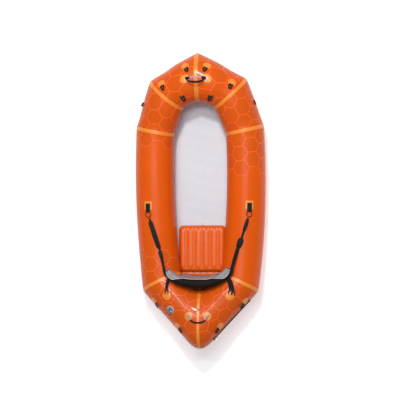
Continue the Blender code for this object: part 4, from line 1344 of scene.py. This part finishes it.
def backrest():
    levels = back_levels()
    columns = 88
    ring = 48
    verts = []
    faces = []
    tags = []
    seam = round(BACK_SEAM_ROW * ring)
    low_seam = round(BACK_FOOT_ROW * ring)
    for i in range(columns + 1):
        u = 2 * i / columns - 1
        u = u * (1.15 - 0.15 * u * u)
        x = BACK_HALF * 0.965 * u
        foot = back_foot(x, levels)
        top = BACK_TOP - 0.012 * ease(abs(u), 0.7, 1.0)
        middle = (foot + top) / 2
        tall = max((top - foot) / 2, 0.022)
        end = math.sqrt(max(0.03, 1 - (max(0.0, abs(u) - 0.88) / 0.12) ** 2))
        seam_turn = BACK_SEAM[0] + (BACK_SEAM[1] - BACK_SEAM[0]) * ease(abs(u), 0.42, 0.90)
        thick = (BACK_THICK[0] + (BACK_THICK[1] - BACK_THICK[0]) * u * u) / 2 * end
        tall *= 0.35 + 0.65 * end
        twist = ease(abs(u), 0.55, 0.98) * math.radians(BACK_TWIST)
        wrinkle = 0.0018 * noise.noise(Vector((x * 22, 1.0, 0.0)))
        for k in range(ring):
            if k <= seam:
                turn = seam_turn * k / seam
            elif k <= low_seam:
                turn = seam_turn + (BACK_FOOT - seam_turn) * (k - seam) / (low_seam - seam)
            else:
                turn = BACK_FOOT + (1 - BACK_FOOT) * (k - low_seam) / (ring - low_seam)
            c, s = math.cos(2 * math.pi * turn), math.sin(2 * math.pi * turn)
            depth = math.copysign(abs(c) ** 0.62, c)
            height = math.copysign(abs(s) ** 0.42, s)
            z = middle + tall * height
            crown = 0.0035 * math.cos(height * 1.4) * end
            soft = wrinkle + 0.0022 * noise.noise(Vector((x * 13, z * 17, c * 0.8)))
            y = back_front(x, z) - thick + (thick - 0.002 + crown + soft) * depth
            centre = back_front(x, z) - thick
            away = y - centre
            dz = z - middle
            away, z = (away * math.cos(twist) - dz * math.sin(twist),
                       middle + away * math.sin(twist) + dz * math.cos(twist))
            step = 0.004
            slope = (back_front(x + step, z) - back_front(x - step, z)) / (2 * step)
            face = Vector((-slope, 1.0)).normalized()
            verts.append(Vector((x + face.x * away, centre + face.y * away, z)))
    for i in range(columns):
        for k in range(ring):
            n = (k + 1) % ring
            faces.append([i * ring + k, (i + 1) * ring + k, (i + 1) * ring + n, i * ring + n])
            tags.append(0 if k < seam or k >= low_seam else 1)
    for start in (0, columns * ring):
        middle = sum((verts[start + k] for k in range(ring)), Vector()) / ring
        verts.append(middle)
        for k in range(ring):
            n = (k + 1) % ring
            loop = [start + k, start + n, len(verts) - 1]
            faces.append(loop if start == 0 else loop[::-1])
            tags.append(0 if k < seam or k >= low_seam else 1)
    made = new_object("backrest_pad", verts, faces, MAT_BACK_FRONT)
    made.data.materials.append(MAT_BACK_REAR)
    made.data.polygons.foreach_set("material_index", tags)
    face_outward(made)
    mount(made, "backrest", "backrest_fabric", "backrest")
    for name, at, material, radius in (("backrest_piping_top", seam, MAT_PIPING, 0.0022),
                                       ("backrest_piping_low", low_seam, MAT_BACK_REAR, 0.0030)):
        path = []
        normals = []
        for i in range(1, columns):
            here = verts[i * ring + at]
            centre = (verts[i * ring] + verts[i * ring + ring // 2]) / 2
            outward = (here - centre).normalized()
            path.append(here + outward * 0.0006)
            normals.append(outward)
        piping = sweep(name, path, normals, round_section(radius, 10), material)
        mount(piping, "backrest", "backrest_fabric")
    for name, column in (("backrest_binding_left", 1), ("backrest_binding_right", columns - 1)):
        count = low_seam - seam
        path = []
        normals = []
        for k in range(seam - 1, seam - 1 - (ring - count) - 2, -1):
            here = verts[column * ring + k % ring]
            centre = sum((verts[column * ring + q] for q in range(ring)), Vector()) / ring
            path.append(here)
            normals.append((here - centre).normalized())
        binding = sweep(name, path, normals, round_section(0.0034, 10), MAT_BACK_REAR)
        mount(binding, "backrest", "backrest_fabric")


backrest()


# ---- straps
def strap_pieces(name, side, path, normals, parts, joined, crumple=None):
    """Cuts a route into lengths of strap; each part is (piece name, from, to, [(share, width, thick)...], look)."""
    total = len(path) - 1
    made = []
    for part, low, high, stations, look in parts:
        count = max(8, round((high - low) * total))
        points = []
        ups = []
        sections = []
        for k in range(count + 1):
            share = low + (high - low) * k / count
            at = share * total
            i = min(int(at), total - 1)
            points.append(path[i].lerp(path[i + 1], at - i))
            ups.append(normals[i].lerp(normals[i + 1], at - i).normalized())
            u = k / count
            for (s0, w0, t0), (s1, w1, t1) in zip(stations, stations[1:]):
                if u <= s1:
                    f = (u - s0) / (s1 - s0)
                    f = f * f * (3 - 2 * f)
                    sections.append(rounded_section(w0 + (w1 - w0) * f, t0 + (t1 - t0) * f, 4, 0.98))
                    break
        piece = sweep(f"{name}_{part}_{side}", points, ups, sections, look)
        if part == "wrap":
            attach(piece, "backrest")
        elif crumple:
            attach(piece, "hull")
            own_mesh(piece)
        else:
            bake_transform(piece)
        made.append(piece)
    if joined:
        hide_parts(joined)
    return made


SLEEVE = [(0.0, 0.018, 0.004), (0.04, 0.030, 0.010), (0.10, 0.036, 0.013), (0.5, 0.038, 0.014), (0.90, 0.036, 0.013),
          (0.96, 0.028, 0.009), (1.0, 0.018, 0.004)]
THIN_SLEEVE = [(s, w * 0.72, t * 0.9) for s, w, t in SLEEVE]
FLAT_STRAP = [(0.0, 0.0160, 0.0030), (1.0, 0.0160, 0.0030)]
WIDE_STRAP = [(0.0, 0.0240, 0.0036), (0.3, 0.0300, 0.0042), (0.7, 0.0310, 0.0040), (1.0, 0.0300, 0.0036)]
WRAP = [(0.0, 0.0290, 0.0050), (1.0, 0.0290, 0.0042)]
BUCKLE = [(0.0, 0.022, 0.005), (0.12, 0.036, 0.010), (0.30, 0.037, 0.011), (0.42, 0.029, 0.010), (0.60, 0.038, 0.011),
          (0.88, 0.036, 0.010), (1.0, 0.024, 0.005)]
ADJUSTER = [(0.0, 0.018, 0.005), (0.08, 0.040, 0.013), (0.5, 0.046, 0.017), (0.92, 0.038, 0.013), (1.0, 0.024, 0.005)]


# the way the backrest's end comes forward as it folds, and the share of its length the strap shortens to; strap_pieces
# reads them only as a sign to ride the strap on the hull with a mesh of its own
FOLD_WAY = (0.0, 0.96, -0.28)
FOLD_KEEP = 0.76


def front_strap(side):
    """From the ring on the side tube to the backrest's end and round it."""
    spots = [(0.684 + (1.030 - 0.684) * u, 79 + 31 * u, 0.0072 + 0.0388 * u ** 4) for u in (k / 14 for k in range(11))]
    points = [SIDE.spot(*spot) for spot in spots]
    outs = [SIDE.spot_axes(x, d)[2] for x, d, _ in spots]
    for place, facing in (((0.266, -0.497, 0.372), (0.50, 0.0, 0.87)), ((0.262, -0.522, 0.376), (0.62, -0.15, 0.77)),
                          ((0.256, -0.550, 0.376), (0.62, -0.4, 0.68)), ((0.240, -0.578, 0.368), (0.50, -0.6, 0.62))):
        points.append(Vector(place))
        outs.append(Vector(facing).normalized())
    points = [flip(side, p) for p in points]
    outs = [flip(side, v) for v in outs]
    path = smooth_path(points, 101)
    normals = smooth_path(outs, 101)
    path = [p + normals[i].normalized() * (0.004 * math.sin(math.pi * min(i / 66, 1.0))) for i, p in enumerate(path)]
    if side == "left":
        between = (("sleeve", 0.04, 0.52, SLEEVE, MAT_SLEEVE), ("buckle", 0.55, 0.66, BUCKLE, MAT_BLACK),
                   ("tail", 0.64, 0.84, WIDE_STRAP, MAT_SLEEVE))
    else:
        between = (("sleeve", 0.03, 0.22, THIN_SLEEVE, MAT_SLEEVE), ("adjuster", 0.34, 0.50, ADJUSTER, MAT_SLEEVE),
                   ("tail", 0.46, 0.84, WIDE_STRAP, MAT_SLEEVE))
    parts = (("strap", 0.0, 0.82, FLAT_STRAP, MAT_WEBBING), *between, ("wrap", 0.79, 1.0, WRAP, MAT_SLEEVE))
    way = Vector(FOLD_WAY).normalized()
    strap_pieces("front_strap", side, path, normals, parts, f"front_strap_{side}", (way, FOLD_KEEP))
    soft_rectangle(f"front_anchor_{side}", SIDE, side, 0.585, 76, 0.070, 0.066, f"front_strap_patch_{side}")
    along, _, out = (flip(side, v) for v in SIDE.spot_axes(0.653, 76))
    centre = flip(side, SIDE.spot(0.653, 76, 0.0075))
    place = placed(centre, along, out.cross(along), out)
    ring = [place @ Vector((*spot, 0.0)) for spot in round_section(0.021, 40)]
    loop = sweep(f"front_ring_{side}", ring, [out] * 40, round_section(0.0028, 12), MAT_BLACK, closed=True)
    mount(loop, "hull", "black_plastic", f"front_strap_ring_{side}")
    tab = [place @ Vector((a, 0.0, b)) for a, b in ((-0.086, -0.0035), (-0.066, -0.0030), (-0.042, -0.0015),
                                                    (-0.026, 0.0030), (-0.0185, 0.0036))]
    strip(f"front_tab_{side}", tab, 20, out, rounded_section(0.036, 0.0028), MAT_WEBBING, "hull", "black_webbing")


def rear_strap(side):
    """From behind the backrest's end down to a hook on the stern."""
    spots = ((0.047, 118, 0.0220), (0.060, 110, 0.0140), (0.078, 102, 0.0085), (0.098, 94, 0.0070))
    points = [Vector((0.226, -0.570, 0.362))] + [STERN.spot(x, d, lift) for x, d, lift in spots]
    outs = [Vector((0.3, -0.75, 0.6)).normalized()] + [STERN.spot_axes(x, d)[2] for x, d, _ in spots]
    points = [flip(side, p) for p in points]
    outs = [flip(side, v) for v in outs]
    path = smooth_path(points, 51)
    normals = smooth_path(outs, 51)
    web = [(0.0, 0.030, 0.0034), (0.45, 0.026, 0.0032), (0.8, 0.022, 0.0030), (1.0, 0.020, 0.0030)]
    parts = (("strap", 0.0, 1.0, web, MAT_WEBBING),)
    strap_pieces("rear_strap", side, path, normals, parts, f"rear_strap_{side}")
    round_patch(f"rear_anchor_{side}", STERN, side, 0.128, 84.5, 0.0340, f"rear_strap_patch_{side}")
    roots = [(STERN.spot(0.096, 95, 0.0085), STERN.spot(0.118, 88, 0.0060))]
    if side == "right":
        branch = [Vector((0.230, -0.590, 0.362)), STERN.spot(0.052, 106, 0.016), STERN.spot(0.075, 92, 0.009),
                  STERN.spot(0.090, 84, 0.0075)]
        outs = [Vector((0.3, -0.75, 0.6)).normalized()] + [STERN.spot_axes(x, d)[2] for x, d in
                                                         ((0.052, 106), (0.075, 92), (0.090, 84))]
        way = smooth_path(branch, 31)
        strap_pieces("rear_branch", side, way, smooth_path(outs, 31), parts, None)
        roots.append((STERN.spot(0.088, 85, 0.0085), STERN.spot(0.108, 80, 0.0060)))
    for number, (base, tip) in enumerate(roots):
        base, tip = flip(side, base), flip(side, tip)
        out = flip(side, STERN.spot_axes(0.11, 86)[2])
        run = (tip - base).normalized()
        away = run.cross(out).normalized()
        for hand_name, turn in (("a", 1), ("b", -1)):
            leg = [base - run * 0.010, base + run * 0.004 + away * turn * 0.005,
                   base + run * 0.013 + away * turn * 0.0105, tip + away * turn * 0.0100]
            strip(f"rear_hook_{number}{hand_name}_{side}", leg, 16, out, rounded_section(0.0085, 0.0055), MAT_BLACK,
                  "hull", "black_plastic")


for strap_side in SIDES:
    front_strap(strap_side)
    rear_strap(strap_side)


# ---- stage, lights and camera
FLOOR_HALF = 30
FLOOR_Z = -0.0006
FLOOR_GLOW = 0.42
SENSOR = 36.0
VIEW_WIDTH = 3.128                # metres that the picture spans at the aim's distance
CAMERA_AIM = Vector((0.0006, 0.0070, 0.20))
CAMERA_OFFSET = Vector((0.92, 0.0, 8.0))
CAMERA_ROLL = 0.417               # degrees


def area_light(name, place, target, size, power, colour=(1, 1, 1)):
    data = bpy.data.lights.new(name, "AREA")
    data.shape = "RECTANGLE"
    data.size, data.size_y = size
    data.energy = power
    data.color = colour
    made = bpy.data.objects.new(name, data)
    bpy.context.scene.collection.objects.link(made)
    made.location = place
    made.rotation_euler = (Vector(target) - Vector(place)).to_track_quat("-Z", "Y").to_euler()
    return made


def stage():
    material, tree, shader = base_material("studio_floor", (0.84, 0.84, 0.84), 0.9)
    feed_all(tree, shader, Emission_Color=(1.0, 1.0, 1.0), Emission_Strength=FLOOR_GLOW)
    corners = [(a * FLOOR_HALF, b * FLOOR_HALF, FLOOR_Z) for a, b in ((-1, -1), (1, -1), (1, 1), (-1, 1))]
    ground = new_object("studio_floor", corners, [(0, 1, 2, 3)], material)
    scene = bpy.context.scene
    world = bpy.data.worlds.new("studio")
    scene.world = world
    world.use_nodes = True
    feed_all(world.node_tree, world.node_tree.nodes["Background"], Color=(0.86, 0.92, 1.0), Strength=0.24)
    scene.view_settings.view_transform = "Standard"
    area_light("overhead", (0.0, 0.3, 5.5), (0, 0.1, 0), (3.0, 3.0), 52)
    area_light("strip", (0.0, 1.35, 5.6), (0, -0.2, 0.2), (3.0, 0.12), 92)
    area_light("key", (0.0, 2.7, 5.4), (0, 0.1, 0.2), (0.7, 0.45), 158, (1.0, 0.97, 0.93))


def camera():
    data = bpy.data.cameras.new("camera")
    data.sensor_width = SENSOR
    aim = CAMERA_AIM
    place = aim + CAMERA_OFFSET
    data.lens = SENSOR * (place - aim).length / VIEW_WIDTH
    made = bpy.data.objects.new("camera", data)
    bpy.context.scene.collection.objects.link(made)
    look = (aim - place).normalized()
    up = Matrix.Rotation(math.radians(CAMERA_ROLL), 3, look) @ Vector((0, 1, 0))
    right = look.cross(up).normalized()
    up = right.cross(look)
    made.matrix_world = placed(place, right, up, -look)
    bpy.context.scene.camera = made


stage()
camera()
